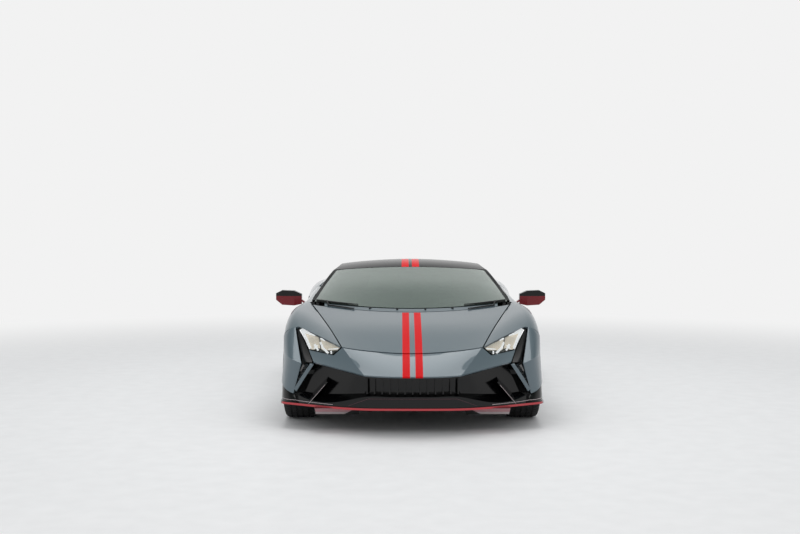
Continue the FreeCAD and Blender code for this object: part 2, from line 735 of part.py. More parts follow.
SPLITTER_TOP = 188
MOUTH_FOOT = SPLITTER_TOP + SEAT_CLEARANCE
BELOW_FOOT = SPLITTER_TOP - 6
MOUTH = (
    ((34, 0, 401), (50, 170, 401), (90, 333, 403), (242, 537, 437), (366, 694, 466)),
    ((130, 0, 392), (135, 170, 392), (165, 330, 393), (300, 520, 423), (410, 684, 452)),
    ((150, 0, 284), (155, 170, 284), (180, 340, 282), (300, 560, 262), (430, 770, 262)),
    ((98, 0, 266), (101, 170, 266), (116, 340, 264), (206, 560, 214), (396, 818, 240)),
    ((100, 0, BELOW_FOOT), (103, 170, BELOW_FOOT), (118, 340, BELOW_FOOT), (204, 560, BELOW_FOOT),
     (366, 812, BELOW_FOOT)),
)
GRILLE_BARS = 13


def above_splitter(panel):
    """The part of a panel of the mouth that stands on the splitter."""
    return panel.cut(block(-1000, 1000, 0, 800, 100, MOUTH_FOOT))


def strut():
    """The slanted fin that stands in the left side of the mouth."""
    a, b = at(262, 598, 350), at(322, 738, 184)
    return skin([[a, b], [a + Vector(12, 0, 4), b + Vector(14, 0, 0)]], 96, BACK)


def grille():
    """Upright bars across the middle of the mouth, moulded on its back wall."""
    bars = []
    for x in spread(-318, 318, GRILLE_BARS):
        s = 108 + 30 * (x / 318) ** 2
        bars.append(block(x - 5, x + 5, s, s + 44, 283, 393))
    return bars


@functools.cache
def mouth():
    """The black mouth under the nose: a channel set back between its lip and its sill, with bars and fins."""
    channel = skin([mirrored_row(drawn(row)) for row in MOUTH], 8, BACK, row_creases=(1, 2, 3))
    return above_splitter(channel.fuse([strut(), mirrored(strut()), *grille()]))


@functools.cache
def cheek():
    """The black return between the painted corner and the splitter, ahead of the left wheel."""
    top = drawn([(444, 850, 238), (500, 926, 274), (640, 954, 328)])
    foot = drawn([(382, 826, BELOW_FOOT), (470, 932, BELOW_FOOT), (640, 950, BELOW_FOOT)])
    return above_splitter(skin([top, foot], 8, Vector(-1, 0.6, 0)).cut(front_arch()))


SPLITTER_REAR = 424
SPLITTER_PLAN = ((88, 0), (91, 170), (106, 340), (192, 560), (356, 822), (448, 940), (600, 948))


@functools.cache
def splitter():
    """The lip that runs under the whole front, with the ramps that lead the air to each side."""
    front = [at(s, x, SPLITTER_TOP) for s, x in SPLITTER_PLAN]
    rear = [at(max(s + 30, SPLITTER_REAR), x * 0.93, SPLITTER_TOP) for s, x in SPLITTER_PLAN]
    plate = skin([mirrored_row(front), mirrored_row(rear)], 16, DOWN).cut(front_arch())
    plate = plate.cut(mirrored(front_arch()))
    ramp = prism_x([(190, 176), (SPLITTER_REAR, 176), (SPLITTER_REAR, 118), (300, 118)], 380, 690)
    return plate.fuse([ramp, mirrored(ramp)])


@functools.cache
def headlamp():
    """The left lamp, a closed glass housing in its opening."""
    corners = [[at(*LAMP_TIP), at(*LAMP_TOP)], [at(*LAMP_LOWER), at(*LAMP_OUTER)]]
    middle = (corners[0][0] + corners[0][1] + corners[1][0] + corners[1][1]) * 0.25
    rows = [[p + (middle - p).normalize() * 10 for p in row] for row in corners]
    inner = [[p + Vector(0, 50, -14) for p in row] for row in rows]
    shell = skin(rows, 50, BACK, inner=inner).cut(fender().translated(DOWN * SEAT_CLEARANCE))
    shell = clear_of(shell, hood(), (*HOOD_ROOM, *HOOD_SIDE_ROOM))
    return shell.cut(nose().translated(BACK * SEAT_CLEARANCE))


# The tail

TAIL_HALF = 911
TAIL_PLAN = ((4552, 0), (4540, 300), (4510, 560), (4440, 790), (4341, TAIL_HALF))


def tail_row(back, heights, reach=1.0):
    """A row round the tail, set in from its plan, with one height or a height for each point."""
    if not isinstance(heights, tuple):
        heights = (heights,) * len(TAIL_PLAN)
    return mirrored_row([at(s - back * (1 - (x / TAIL_HALF) ** 2), x * reach, z)
                         for (s, x), z in zip(TAIL_PLAN, heights)])


@functools.cache
def rear_bumper():
    """The painted band round the tail."""
    rows = [tail_row(70, 545), tail_row(0, 450), tail_row(5, 400), tail_row(45, 320, 0.975)]
    band = skin(rows, PANEL_THICKNESS, Vector(0, -1, 0), row_creases=(1, 2))
    sides = quarter().translated(BACK * SEAT_CLEARANCE)
    return clear_of(clear_of(band, sides, (ORIGIN,)), mirrored(sides), (ORIGIN,))


PANEL_ROWS = ((145, (900, 898, 888, 876, 850), 0.955), (118, 720, 0.965), (85, 551, 0.97))


def tail_skin(shift, thickness):
    """A skin over the dark tail panel, moved back from it by shift."""
    rows = [[p + Vector(0, shift, 0) for p in tail_row(*row)] for row in PANEL_ROWS]
    return skin(rows, thickness, Vector(0, -1, 0))


def outlet(radius):
    """The six-sided outline of the left exhaust outlet."""
    return [(190 + radius * math.cos(math.radians(60 * i)), 640 + 0.8 * radius * math.sin(math.radians(60 * i)))
            for i in range(6)]


@functools.cache
def tail_panel():
    """The dark panel between the deck and the bumper, with holes for the outlets."""
    hole = prism_y(outlet(78), 4000, 4600)
    return tail_skin(0, 10).cut(hole).cut(mirrored(hole))


TAIL_LAMP = ((500, 770), (500, 752), (640, 742), (690, 668), (712, 674), (680, 744), (850, 756), (850, 790))


def tail_lamp():
    """The left lamp, an arrow shape that follows the tail panel."""
    depth = 12
    shell = tail_skin(depth + SEAT_CLEARANCE, depth)
    lamp = shell.common(prism_y(TAIL_LAMP, 4000, 4600))
    return lamp.cut(tail_panel().translated(BACK * SEAT_CLEARANCE))


@functools.cache
def diffuser():
    """The ramp under the tail with its upright fins."""
    rows = [mirrored_row([at(s - bow * (x / TAIL_HALF) ** 2, x * 0.78, z) for _, x in TAIL_PLAN])
            for s, z, bow in ((3980, 122, 0), (4300, 190, 20), (4500, 296, 60))]
    plate = skin(rows, 10, UP)
    fins = []
    for x in (-520, -320, -120, 120, 320, 520):
        fins.append(prism_x([(4050, 138), (4470, 284), (4485, 190), (4100, 122)], x - 5, x + 5))
    return plate.fuse(fins)


@functools.cache
def rear_deck():
    """The painted deck behind the engine lid, with its raised lip."""
    front = drawn([(4190, 0, 911), (4190, 240, 909), (4206, 452, 901), (4258, 604, 896), (4328, 826, 878)])
    rear = drawn([(4428, 0, 938), (4430, 240, 935), (4420, 452, 925), (4398, 604, 915), (4346, 824, 890)])
    middle = [between(a, b, 0.5, -8) for a, b in zip(front, rear)]
    return skin([mirrored_row(row) for row in (front, middle, rear)], 14, DOWN)


GEARBOX_TOP = 560


def exhaust():
    """The silencer over the gearbox, and the two high six-sided outlets."""
    parts = [block(-330, 330, 4060, 4250, GEARBOX_TOP + SEAT_CLEARANCE, 690)]
    pipe = prism_y(outlet(72), 4240, 4480).cut(prism_y(outlet(62), 4290, 4500))
    return parts[0].fuse([pipe, mirrored(pipe)])


# The structure

def floor_pan():
    """The flat floor, waisted between the wheels."""
    half = [(480, SPLITTER_REAR + SEAT_CLEARANCE), (700, 470), (700, 560), (500, 575), (500, 1330), (840, 1345),
            (850, 1900), (860, 2600), (870, 3160), (560, 3185), (560, 3975), (0, 3975)]
    outline = [*half, *[(-x, s) for x, s in reversed(half[:-1])]]
    return polygon([Vector(out(x), along(s), FLOOR_Z) for x, s in outline]).extrude(Vector(0, 0, FLOOR_THICKNESS))


def stay(place, panels, shift, root):
    """A bracket drawn as a block, then trimmed to the panels that it holds."""
    return seated(block(*place), panels, shift, at(*root))


FRAME_FOOT = FLOOR_Z + FLOOR_THICKNESS
FIREWALL = 1355
HOOP = 2725
HOOP_OUTLINE = ((-790, 700), (-770, 860), (-745, 905), (-555, 1055), (-500, 1080), (500, 1080), (555, 1055),
                (745, 905), (770, 860), (790, 700))
REAR_WINDOW = ((-390, 880), (390, 880), (350, 1062), (-350, 1062))
REAR_GLASS = ((-404, 866), (404, 866), (361, 1074), (-361, 1074))


def hoop():
    """The roll hoop behind the seats, with pads up to the roof, the sail panels and the rear quarters."""
    arch = prism_y(HOOP_OUTLINE, HOOP - 25, HOOP).cut(prism_y(REAR_WINDOW, HOOP - 50, HOOP + 50))
    pads = [stay((-450, 450, HOOP - 25, HOOP, 1070, 1200), [roof()], DOWN, (HOOP - 12, 0, 1075))]
    left = [stay((715, 800, HOOP - 25, HOOP, 720, 960), [quarter()], DOWN, (HOOP - 12, 725, 740)),
            stay((616, 638, HOOP - 25, HOOP - 10, 930, 1100), [sail()], DOWN, (HOOP - 18, 626, 935))]
    return arch.fuse(pads + left + [mirrored(pad) for pad in left])


def cabin_tub():
    """The sills, tunnel and bulkheads that carry the cabin."""
    z = FRAME_FOOT
    parts = [block(-110, 110, FIREWALL - 10, HOOP, z, 400), block(-700, 700, FIREWALL - 20, FIREWALL, z, 745),
             block(-800, 800, HOOP - 25, HOOP, z, 850), block(-690, 690, 1125, FIREWALL, 700, 745), hoop()]
    for x in (-450, 0, 450):
        s = 1200 + 250 * (x / 772) ** 2
        parts.append(stay((x - 15, x + 15, s - 50, s - 20, 700, 900), [cowl()], DOWN, (s - 35, x, 720)))
        parts.append(stay((x - 15, x + 15, s + 8, s + 32, 700, 900), [windscreen()], DOWN, (s + 20, x, 720)))
    post = block(720, 836, FIREWALL - 20, 1372, z, 740)
    sill_box = stay((700, 890, FIREWALL - 10, HOOP, z, 255), [sill()], LEFT, (2000, 720, 200))
    foot = block(735, 800, 1340, 1474, 690, 740)
    corner = stay((738, 762, 1450, 1466, 690, 900), [windscreen()], DOWN, (1455, 750, 720))
    head = stay((775, 796, 1450, 1473, 690, 842), [pillar()], Vector(0, -1, 0), (1455, 785, 720))
    half = [post, sill_box, foot, corner, head, ears(HOOD_HINGE, HOOD_EARS), ears(LID_HINGE, LID_EARS),
            *[door_hinge_fixed(z) for z in DOOR_HINGE_HEIGHTS]]
    parts += half + [mirrored(piece) for piece in half]
    return parts[0].fuse(parts[1:])


def rear_window():
    """The glass in the hoop behind the seats."""
    return prism_y(REAR_GLASS, HOOP + SEAT_CLEARANCE, HOOP + GLASS_THICKNESS)


@functools.cache
def front_frame():
    """The rails, crash beam and luggage tub under the front lid, with the stays of the nose."""
    z = FRAME_FOOT
    tub = block(-400, 400, 500, 1100, 250, 560).cut(block(-394, 394, 506, 1094, 256, 700))
    parts = [block(-640, 640, 430, 470, z, 425), tub, block(-430, 430, 700, 740, 236, 250)]
    left = [block(430, 500, 430, FIREWALL - 20, z, 320), block(430, 519, 830, 1070, 320, 470)]
    left.append(stay((174, 198, 38, 470, 419, 445), [nose()], BACK, (450, 186, 424)))
    left.append(stay((174, 198, 100, 470, 330, 360), [mouth()], BACK, (450, 186, 345)))
    left.append(stay((550, 580, 250, 470, 300, 330), [mouth()], BACK, (450, 565, 315)))
    left.append(stay((605, 635, 430, 470, 400, 600), [headlamp()], DOWN, (450, 620, 405)))
    left.append(block(560, 620, 465, 540, 380, 410))
    left.append(stay((600, 960, 492, 540, 380, 410), [bumper_corner()], LEFT, (510, 610, 395)))
    left.append(stay((430, 960, 520, 545, 215, 240), [cheek()], LEFT, (530, 500, 230)))
    upper_vane, vane_leg = vane()
    left.append(stay((775, 788, 380, 530, 360, 384), [vane_leg, blade()], BACK, (520, 780, 370)))
    left.append(stay((775, 800, 525, 560, 380, 640), [upper_vane], DOWN, (540, 785, 385)))
    parts += left + [mirrored(piece) for piece in left]
    return parts[0].fuse(parts[1:])


def liner(radius, inner_x, outer_x, axle_y, axle_z):
    """A wheel-arch liner: half a drum over the wheel, closed on its inner side."""
    shell = cylinder_x(radius + LINER_THICKNESS, inner_x - LINER_THICKNESS, outer_x, axle_y, axle_z)
    shell = shell.cut(cylinder_x(radius, inner_x, outer_x + 1, axle_y, axle_z))
    low = box(inner_x - 50, 840, axle_y - 2 * radius, axle_y + 2 * radius, 210, 2 * radius + 400)
    high = box(inner_x - 50, outer_x + 50, axle_y - 2 * radius, axle_y + 2 * radius, 305, 2 * radius + 400)
    return shell.common(low.fuse(high))


def front_liner():
    """The left front liner, open on its inner side for the wishbones and notched where the wing meets the corner."""
    shape = liner(FRONT_TYRE_RADIUS + 44.5, 536, FAR, FRONT_AXLE_Y, FRONT_TYRE_RADIUS)
    shape = shape.cut(box(500, 560, FRONT_AXLE_Y - 170, FRONT_AXLE_Y + 170, 150, 560))
    shape = shape.cut(block(850, 1000, 735, 775, 380, 740)).cut(block(840, 1000, 500, 700, 200, 480))
    shape = seated(shape, [fender(), bumper_corner(), cheek(), front_frame()], LEFT,
                   Vector(700, FRONT_AXLE_Y, 2 * FRONT_TYRE_RADIUS + 48))
    return clear_of(shape, hood(), (*HOOD_ROOM, *HOOD_SIDE_ROOM))


def rear_liner():
    """The left rear liner."""
    shape = liner(REAR_TYRE_RADIUS + 42, 620, FAR, REAR_AXLE_Y, REAR_TYRE_RADIUS)
    shape = shape.cut(box(600, 650, REAR_AXLE_Y - 170, REAR_AXLE_Y + 170, 150, 560))
    return seated(shape, [quarter(), sill()], LEFT, Vector(700, REAR_AXLE_Y, 2 * REAR_TYRE_RADIUS + 45))


def rear_frame():
    """The rails round the engine, with the stays of the tail."""
    z = FRAME_FOOT + 60
    parts = [block(-550, 550, 4290, 4330, 330, 400), block(-550, 550, 3940, 3975, z, 260 - SEAT_CLEARANCE),
             block(-550, 550, 2900, 2940, z, 230 - SEAT_CLEARANCE)]
    half = [block(470, 550, HOOP, 3975, z, 330), block(470, 550, 3900, 4330, 330, 400),
            block(470, 559, 3450, 3690, 330, 470), block(470, 550, HOOP, HOOP + 60, FRAME_FOOT, z)]
    half.append(stay((400, 430, 4290, 4320, 380, 960), [rear_deck()], DOWN, (4300, 415, 390)))
    half.append(stay((400, 430, 4300, 4540, 600, 630), [tail_panel()], Vector(0, -1, 0), (4310, 415, 610)))
    half.append(stay((400, 430, 4300, 4590, 395, 425), [rear_bumper()], Vector(0, -1, 0), (4310, 415, 410)))
    half.append(stay((400, 430, 4295, 4325, 120, 395), [diffuser()], UP, (4300, 415, 390)))
    half.append(stay((540, 950, 4290, 4330, 350, 395), [quarter(), rear_bumper()], LEFT, (4300, 545, 370)))
    parts += half + [mirrored(piece) for piece in half]
    return parts[0].fuse(parts[1:])


def engine():
    """The engine and gearbox, one plain mass."""
    return block(-330, 330, 2760, 3500, 230, 760).fuse(block(-240, 240, 3500, 4150, 260, GEARBOX_TOP))


# The cabin

def seat():
    """The left seat: cushion, back and head rest in one moulded shell."""
    side = [(1990, 200), (1990, 300), (2040, 318), (2360, 268), (2560, 700), (2600, 880), (2655, 885), (2650, 700),
            (2480, 200)]
    shell = prism_x(side, 165, 585)
    runners = [block(x, x + 40, 2000, 2470, FRAME_FOOT + SEAT_CLEARANCE, 205) for x in (200, 510)]
    wing = prism_x([(1990, 200), (1990, 340), (2060, 365), (2330, 350), (2400, 380), (2500, 600), (2600, 620),
                    (2480, 200)], 130, 175)
    return shell.fuse([wing, wing.translated(Vector(out(445), 0, 0)), *runners])


def dashboard():
    """The dash, with the console that runs back between the seats."""
    front = FIREWALL + SEAT_CLEARANCE
    foot = 400 + SEAT_CLEARANCE
    side = [(front, 600), (front, 770), (1440, 792), (1600, 782), (1690, 730), (1700, 660), (1640, 560),
            (1560, 470), (front, 470)]
    dash = prism_x(side, -712, 712)
    console = prism_x([(front, foot), (front, 600), (1640, 600), (1860, 470), (2500, 450), (2620, foot)], -108, 108)
    return dash.fuse([console, column()])


WHEEL_TILT = 24.0
STEERING_X = 375
STEERING_S = 1800
STEERING_Z = 690
STEERING_RADIUS = 172
RIM_GRIP = 16


def steering_axis():
    tilt = math.radians(WHEEL_TILT)
    return Vector(0, math.cos(tilt), math.sin(tilt))


def steering_wheel():
    """The wheel, its three spokes and its boss, on the end of the column."""
    centre = at(STEERING_S, STEERING_X, STEERING_Z)
    axis = steering_axis()
    section = [Vector(STEERING_RADIUS + RIM_GRIP * math.cos(a), 0, RIM_GRIP * math.sin(a))
               for a in (math.radians(45 * i + 22.5) for i in range(8))]
    ring = polygon(section).revolve(ORIGIN, Vector(0, 0, 1), 360)
    ring.rotate(ORIGIN, Vector(1, 0, 0), WHEEL_TILT - 90)
    ring.translate(centre)
    parts = [Part.makeCylinder(52, 40, centre - axis * 30, axis)]
    upward = Vector(0, -axis.z, axis.y)
    for direction in (Vector(1, 0, 0), Vector(-1, 0, 0), upward * -1):
        parts.append(rod(centre - axis * 6 + direction * 40, centre + direction * (STEERING_RADIUS - 4), 11))
    return ring.fuse(parts)


def column():
    centre = at(STEERING_S, STEERING_X, STEERING_Z)
    axis = steering_axis()
    return Part.makeCylinder(24, 150, centre - axis * (30 + SEAT_CLEARANCE + 150), axis)


# The running gear

KINGPIN_INSET = 40.0
KINGPIN_RADIUS = 8.0
KNUCKLE_LOW = 212.0
KNUCKLE_HIGH = 440.0
SPINDLE_RADIUS = 32.0
SPINDLE_PLAY = 0.3
SPINDLE_REACH = 40.0
DISC_HALF = 15.0
DISC_RADIUS = 188.0
SPOKES = 5


def wishbone(pivot, inner_x, spread_y, z0, z1):
    """A flat vee from the frame to the pin at the wheel."""
    outline = [Vector(pivot.x + 8, pivot.y - 14, z0), Vector(pivot.x + 8, pivot.y + 14, z0),
               Vector(inner_x, pivot.y + spread_y, z0), Vector(inner_x, pivot.y + spread_y - 40, z0),
               Vector(pivot.x - 60, pivot.y, z0), Vector(inner_x, pivot.y - spread_y + 40, z0),
               Vector(inner_x, pivot.y - spread_y, z0)]
    return polygon(outline).extrude(Vector(0, 0, z1 - z0))


def front_suspension():
    pivot = Vector(FRONT_TRACK / 2 - KINGPIN_INSET, FRONT_AXLE_Y, 0)
    lower = wishbone(pivot, out(500) + SEAT_CLEARANCE, 130, KNUCKLE_LOW - 26, KNUCKLE_LOW - SEAT_CLEARANCE)
    lower = lower.fuse(cylinder_z(KINGPIN_RADIUS, KNUCKLE_LOW - 20, KNUCKLE_LOW + 28, pivot.x, pivot.y))
    upper = wishbone(pivot, out(519) + SEAT_CLEARANCE, 120, KNUCKLE_HIGH + SEAT_CLEARANCE, KNUCKLE_HIGH + 22)
    upper = upper.fuse(cylinder_z(KINGPIN_RADIUS, KNUCKLE_HIGH - 28, KNUCKLE_HIGH + 20, pivot.x, pivot.y))
    return lower, upper


def upright(centre_x, radius_z, axle_y, bored):
    """The carrier of one left wheel: its post, its spindle along +X and the brake caliper."""
    post_x = centre_x - KINGPIN_INSET
    post = box(post_x - 18, post_x + 18, axle_y - 26, axle_y + 26, KNUCKLE_LOW, KNUCKLE_HIGH)
    boss = cylinder_x(60, post_x - 16, centre_x - DISC_HALF - 5, axle_y, radius_z)
    spindle = cylinder_x(SPINDLE_RADIUS - SPINDLE_PLAY, post_x, centre_x + SPINDLE_REACH, axle_y, radius_z)
    arm = box(post_x - 12, centre_x - 21, axle_y + 20, axle_y + 150, radius_z - 40, radius_z + 40)
    caliper = cylinder_x(212, centre_x - 36, centre_x + 34, axle_y, radius_z)
    caliper = caliper.cut(cylinder_x(138, centre_x - 40, centre_x + 40, axle_y, radius_z))
    caliper = caliper.common(box(centre_x - 60, centre_x + 60, axle_y + 60, axle_y + 260, radius_z - 95, radius_z + 95))
    slot = cylinder_x(DISC_RADIUS + 6, centre_x - DISC_HALF - 5, centre_x + DISC_HALF + 5, axle_y, radius_z)
    solid = post.fuse([boss, arm, caliper]).cut(slot).fuse(spindle)
    if bored:
        for z0, z1 in ((KNUCKLE_LOW - 1, KNUCKLE_LOW + 30), (KNUCKLE_HIGH - 30, KNUCKLE_HIGH + 1)):
            solid = solid.cut(cylinder_z(KINGPIN_RADIUS + SPINDLE_PLAY, z0, z1, post_x, axle_y))
    return solid


def rear_suspension():
    pivot = Vector(REAR_TRACK / 2 - KINGPIN_INSET, REAR_AXLE_Y, 0)
    lower = wishbone(pivot, out(550) + SEAT_CLEARANCE, 150, KNUCKLE_LOW - 5, KNUCKLE_LOW + 15)
    upper = wishbone(pivot, out(559) + SEAT_CLEARANCE, 120, KNUCKLE_HIGH, KNUCKLE_HIGH + 22)
    carrier = upright(REAR_TRACK / 2, REAR_TYRE_RADIUS, REAR_AXLE_Y, False)
    return carrier.fuse([lower, upper])


def tyre(radius, width):
    """A tyre about the X axis, centred on the origin, solid down to the seat on the rim."""
    half = width / 2
    profile = [(half - 14, RIM_RADIUS), (half, RIM_RADIUS + 42), (half - 6, radius - 14), (half - 34, radius)]
    profile += [(-x, r) for x, r in reversed(profile)]
    return polygon([Vector(x, 0, r) for x, r in profile]).revolve(ORIGIN, Vector(1, 0, 0), 360)


def rim(width):
    """A wheel about the X axis with its face towards +X: barrel, hub, brake disc and spokes."""
    seat_half = width / 2 - 14
    inside = RIM_RADIUS - 14
    profile = [(seat_half + 11, RIM_RADIUS - 4), (seat_half + 11, RIM_RADIUS + 12), (seat_half + 5, RIM_RADIUS + 12),
               (seat_half + 5, RIM_RADIUS), (-seat_half - 5, RIM_RADIUS), (-seat_half - 5, RIM_RADIUS + 12),
               (-seat_half - 11, RIM_RADIUS + 12), (-seat_half - 11, inside + 8), (10 - seat_half, inside)]
    profile.append((seat_half - 20, inside))
    barrel = polygon([Vector(x, 0, r) for x, r in profile]).revolve(ORIGIN, Vector(1, 0, 0), 360)
    face = DISC_HALF + 31
    hub = cylinder_x(78, -DISC_HALF, face + 16, 0, 0).cut(cylinder_x(SPINDLE_RADIUS, -60, SPINDLE_REACH + 2, 0, 0))
    disc = cylinder_x(DISC_RADIUS, -DISC_HALF, DISC_HALF, 0, 0).cut(cylinder_x(76, -60, 60, 0, 0))
    depth = seat_half + 6
    outline = [(-17, 60), (17, 60), (20, 130), (58, inside + 4), (30, inside + 6), (0, 165), (-30, inside + 6),
               (-58, inside + 4), (-20, 130)]
    flat = polygon([Vector(face, y, z) for y, z in outline]).extrude(Vector(depth - face, 0, 0))
    spokes = []
    for i in range(SPOKES):
        spoke = flat.copy()
        spoke.rotate(ORIGIN, Vector(1, 0, 0), 360 / SPOKES * i)
        spokes.append(spoke)
    return barrel.fuse([hub, disc, *spokes])


def placed(shape, x, y, z):
    return shape.translated(Vector(x, y, z))


def mirror():
    """The left door mirror on its stalk."""
    sections = [(900, 1706, 1762, 812, 895), (960, 1690, 1768, 800, 922), (1060, 1694, 1762, 806, 926),
                (1112, 1716, 1746, 846, 900)]
    wires = []
    for x, s0, s1, z0, z1 in sections:
        corners = drawn([(s0, x, z0), (s1, x, z0), (s1, x, z1), (s0, x, z1)])
        wires.append(Part.makePolygon([*corners, corners[0]]))
    shell = Part.makeLoft(wires, True, True)
    stalk = skin([drawn([(1700, 872, 812), (1760, 872, 812)]), drawn([(1712, 905, 836), (1758, 905, 836)])], 14, UP)
    return shell.fuse(stalk).cut(door().translated(UP * SEAT_CLEARANCE))


save("hood", hood())
save("engine_lid", engine_lid())
save("front_wings", both(fender()))
save("cowl", cowl())
save("windscreen", windscreen())
save("roof", roof())
save("windscreen_pillars", both(pillar()))
save("sail_panels", both(sail()))
save("rear_quarters", both(quarter()))
save("side_sills", both(sill()))
save("door_left", door())
save("door_right", mirrored(door()))
save("door_glass_left", door_glass())
save("door_glass_right", mirrored(door_glass()))
save("mirror_left", mirror())
save("mirror_right", mirrored(mirror()))
save("nose_panel", nose())
save("bumper_corners", Part.Compound([both(bumper_corner()), both(blade())]))
save("front_intake", Part.Compound([mouth(), both(cheek()), *[both(v) for v in vane()]]))
save("splitter", splitter())
save("headlamps", both(headlamp()))
save("rear_bumper", rear_bumper())
save("tail_panel", tail_panel())
save("tail_lamps", both(tail_lamp()))
save("diffuser", diffuser())
save("rear_deck", rear_deck())
save("exhaust", exhaust())
save("rear_window", rear_window())
save("floor_pan", floor_pan())
save("cabin_tub", cabin_tub())
save("front_frame", front_frame())
save("front_arch_liners", both(front_liner()))
save("rear_arch_liners", both(rear_liner()))
save("rear_frame", rear_frame())
save("engine", engine())
save("seats", both(seat()))
save("dashboard", dashboard())
save("steering_wheel", steering_wheel())
save("front_suspension", Part.Compound([both(v) for v in front_suspension()]))
save("rear_suspension", both(rear_suspension()))
knuckle = upright(FRONT_TRACK / 2, FRONT_TYRE_RADIUS, FRONT_AXLE_Y, True)
save("front_knuckle_left", knuckle)
save("front_knuckle_right", mirrored(knuckle))
for end, track, axle_y, radius, width in (("front", FRONT_TRACK, FRONT_AXLE_Y, FRONT_TYRE_RADIUS, FRONT_TYRE_WIDTH),
                                          ("rear", REAR_TRACK, REAR_AXLE_Y, REAR_TYRE_RADIUS, REAR_TYRE_WIDTH)):
    for side in ("left", "right"):
        ring = placed(tyre(radius, width), track / 2, axle_y, radius)
        wheel = placed(rim(width), track / 2, axle_y, radius)
        save(f"{end}_tyre_{side}", ring if side == "left" else mirrored(ring))
        save(f"{end}_rim_{side}", wheel if side == "left" else mirrored(wheel))
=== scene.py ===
"""The looks of a mid-engined two-seat sports car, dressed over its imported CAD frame.

Everything is in metres in the frame of the CAD: +X to the car's own left, nose towards -Y, +Z up.
"""

import logging
import math
from collections.abc import Sequence
from dataclasses import dataclass
from enum import Enum

import bmesh
import bpy
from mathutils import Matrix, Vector
from mathutils.bvhtree import BVHTree

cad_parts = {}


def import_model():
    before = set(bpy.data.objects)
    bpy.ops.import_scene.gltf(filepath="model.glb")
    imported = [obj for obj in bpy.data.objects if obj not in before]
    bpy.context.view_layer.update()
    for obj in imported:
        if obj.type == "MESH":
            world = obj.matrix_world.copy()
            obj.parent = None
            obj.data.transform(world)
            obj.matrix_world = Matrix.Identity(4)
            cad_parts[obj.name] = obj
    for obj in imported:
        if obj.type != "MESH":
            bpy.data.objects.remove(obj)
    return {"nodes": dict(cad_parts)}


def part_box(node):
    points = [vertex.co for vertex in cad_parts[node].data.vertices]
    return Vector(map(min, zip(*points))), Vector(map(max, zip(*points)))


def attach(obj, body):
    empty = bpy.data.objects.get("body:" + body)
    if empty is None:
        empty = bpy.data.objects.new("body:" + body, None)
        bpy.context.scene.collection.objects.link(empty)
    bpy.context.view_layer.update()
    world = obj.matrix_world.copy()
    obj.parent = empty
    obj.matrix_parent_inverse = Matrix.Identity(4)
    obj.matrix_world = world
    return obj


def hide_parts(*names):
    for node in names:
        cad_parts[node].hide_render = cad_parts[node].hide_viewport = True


log = logging.getLogger("sports_car")

MM = 0.001
CHASSIS = "chassis"
SIDES = ("left", "right")
ENDS = ("front", "rear")
# How far a piece that lies on a panel stands off it.
LIFT = 0.6 * MM
# From the drawing's first station to the middle of the car.
DRAWN_HALF_MM = 2283.5
# How far the spokes' outer face lies from the middle of the wheel.
FACE_DEPTH = 46 * MM
# Where the rays that look for a panel start: over, before, behind and beside the car.
ABOVE_MM, AHEAD_MM, BEHIND_MM, BESIDE_MM = 3000.0, -1000.0, 6000.0, 1400.0
# A tyre's wall as (distance from its side, distance up from the bead) in mm, bead first.
TYRE_WALL_MM = ((13, 1), (5, 14), (3, 16), (3, 21), (5, 23), (1, 40))
# Its shoulder as (distance from its side, distance below the tread, share of a slot's depth).
TYRE_SHOULDER_MM = ((5, 24, 0.0), (7, 22, 0.0), (8, 15, 0.4), (16, 7, 1.0), (34, 1.5, 1.0))
# One pitch of its tread as (share of the pitch, 1 in the slot and 0 on the block).
TYRE_PITCH = ((0.0, 0), (0.74, 0), (0.77, 1), (0.95, 1), (0.98, 0))
# The way into a headlamp: back, and a little down.
LAMP_INWARD = Vector((0, 1, -0.28))
# The outline of the cabin mirror as shares of its half width and half height.
MIRROR_OUTLINE = ((-1, -0.5), (-0.8, -1), (0.8, -1), (1, -0.5), (1, 0.5), (0.8, 1), (-0.8, 1), (-1, 0.5))


def sign_of(side: str) -> int:
    """Returns +1 for the left side and -1 for the right."""
    return 1 if side == "left" else -1


def linear(hex_colour: str, alpha: float = 1.0) -> tuple[float, float, float, float]:
    """Turns an sRGB hex colour into Blender's linear values.

    Args:
        hex_colour: six hex digits after a hash.
        alpha: the fourth value.

    Returns:
        Red, green, blue and alpha.
    """
    parts = [int(hex_colour[i:i + 2], 16) / 255 for i in (1, 3, 5)]
    red, green, blue = (c / 12.92 if c <= 0.04045 else ((c + 0.055) / 1.055) ** 2.4 for c in parts)
    return red, green, blue, alpha


def add_node(tree: bpy.types.NodeTree, kind: str, settings: dict | None = None,
             links: dict | None = None) -> bpy.types.Node:
    """Adds one shader node with its settings and links.

    Args:
        tree: the material's node tree.
        kind: the node's type name.
        settings: values by attribute name, or by input name or number.
        links: sockets to join, by input name or number.

    Returns:
        The new node.
    """
    node = tree.nodes.new(kind)
    for key, value in (settings or {}).items():
        if isinstance(key, str) and hasattr(node, key):
            setattr(node, key, value)
        else:
            node.inputs[key].default_value = value
    for key, socket in (links or {}).items():
        tree.links.new(socket, node.inputs[key])
    return node


class Grain(Enum):
    """How a surface was made, which sets the pattern of its relief."""

    NONE = "none"
    MOULDED = "moulded"
    BRUSHED = "brushed"
    CAST = "cast"
    HIDE = "hide"
    FLAKE = "flake"


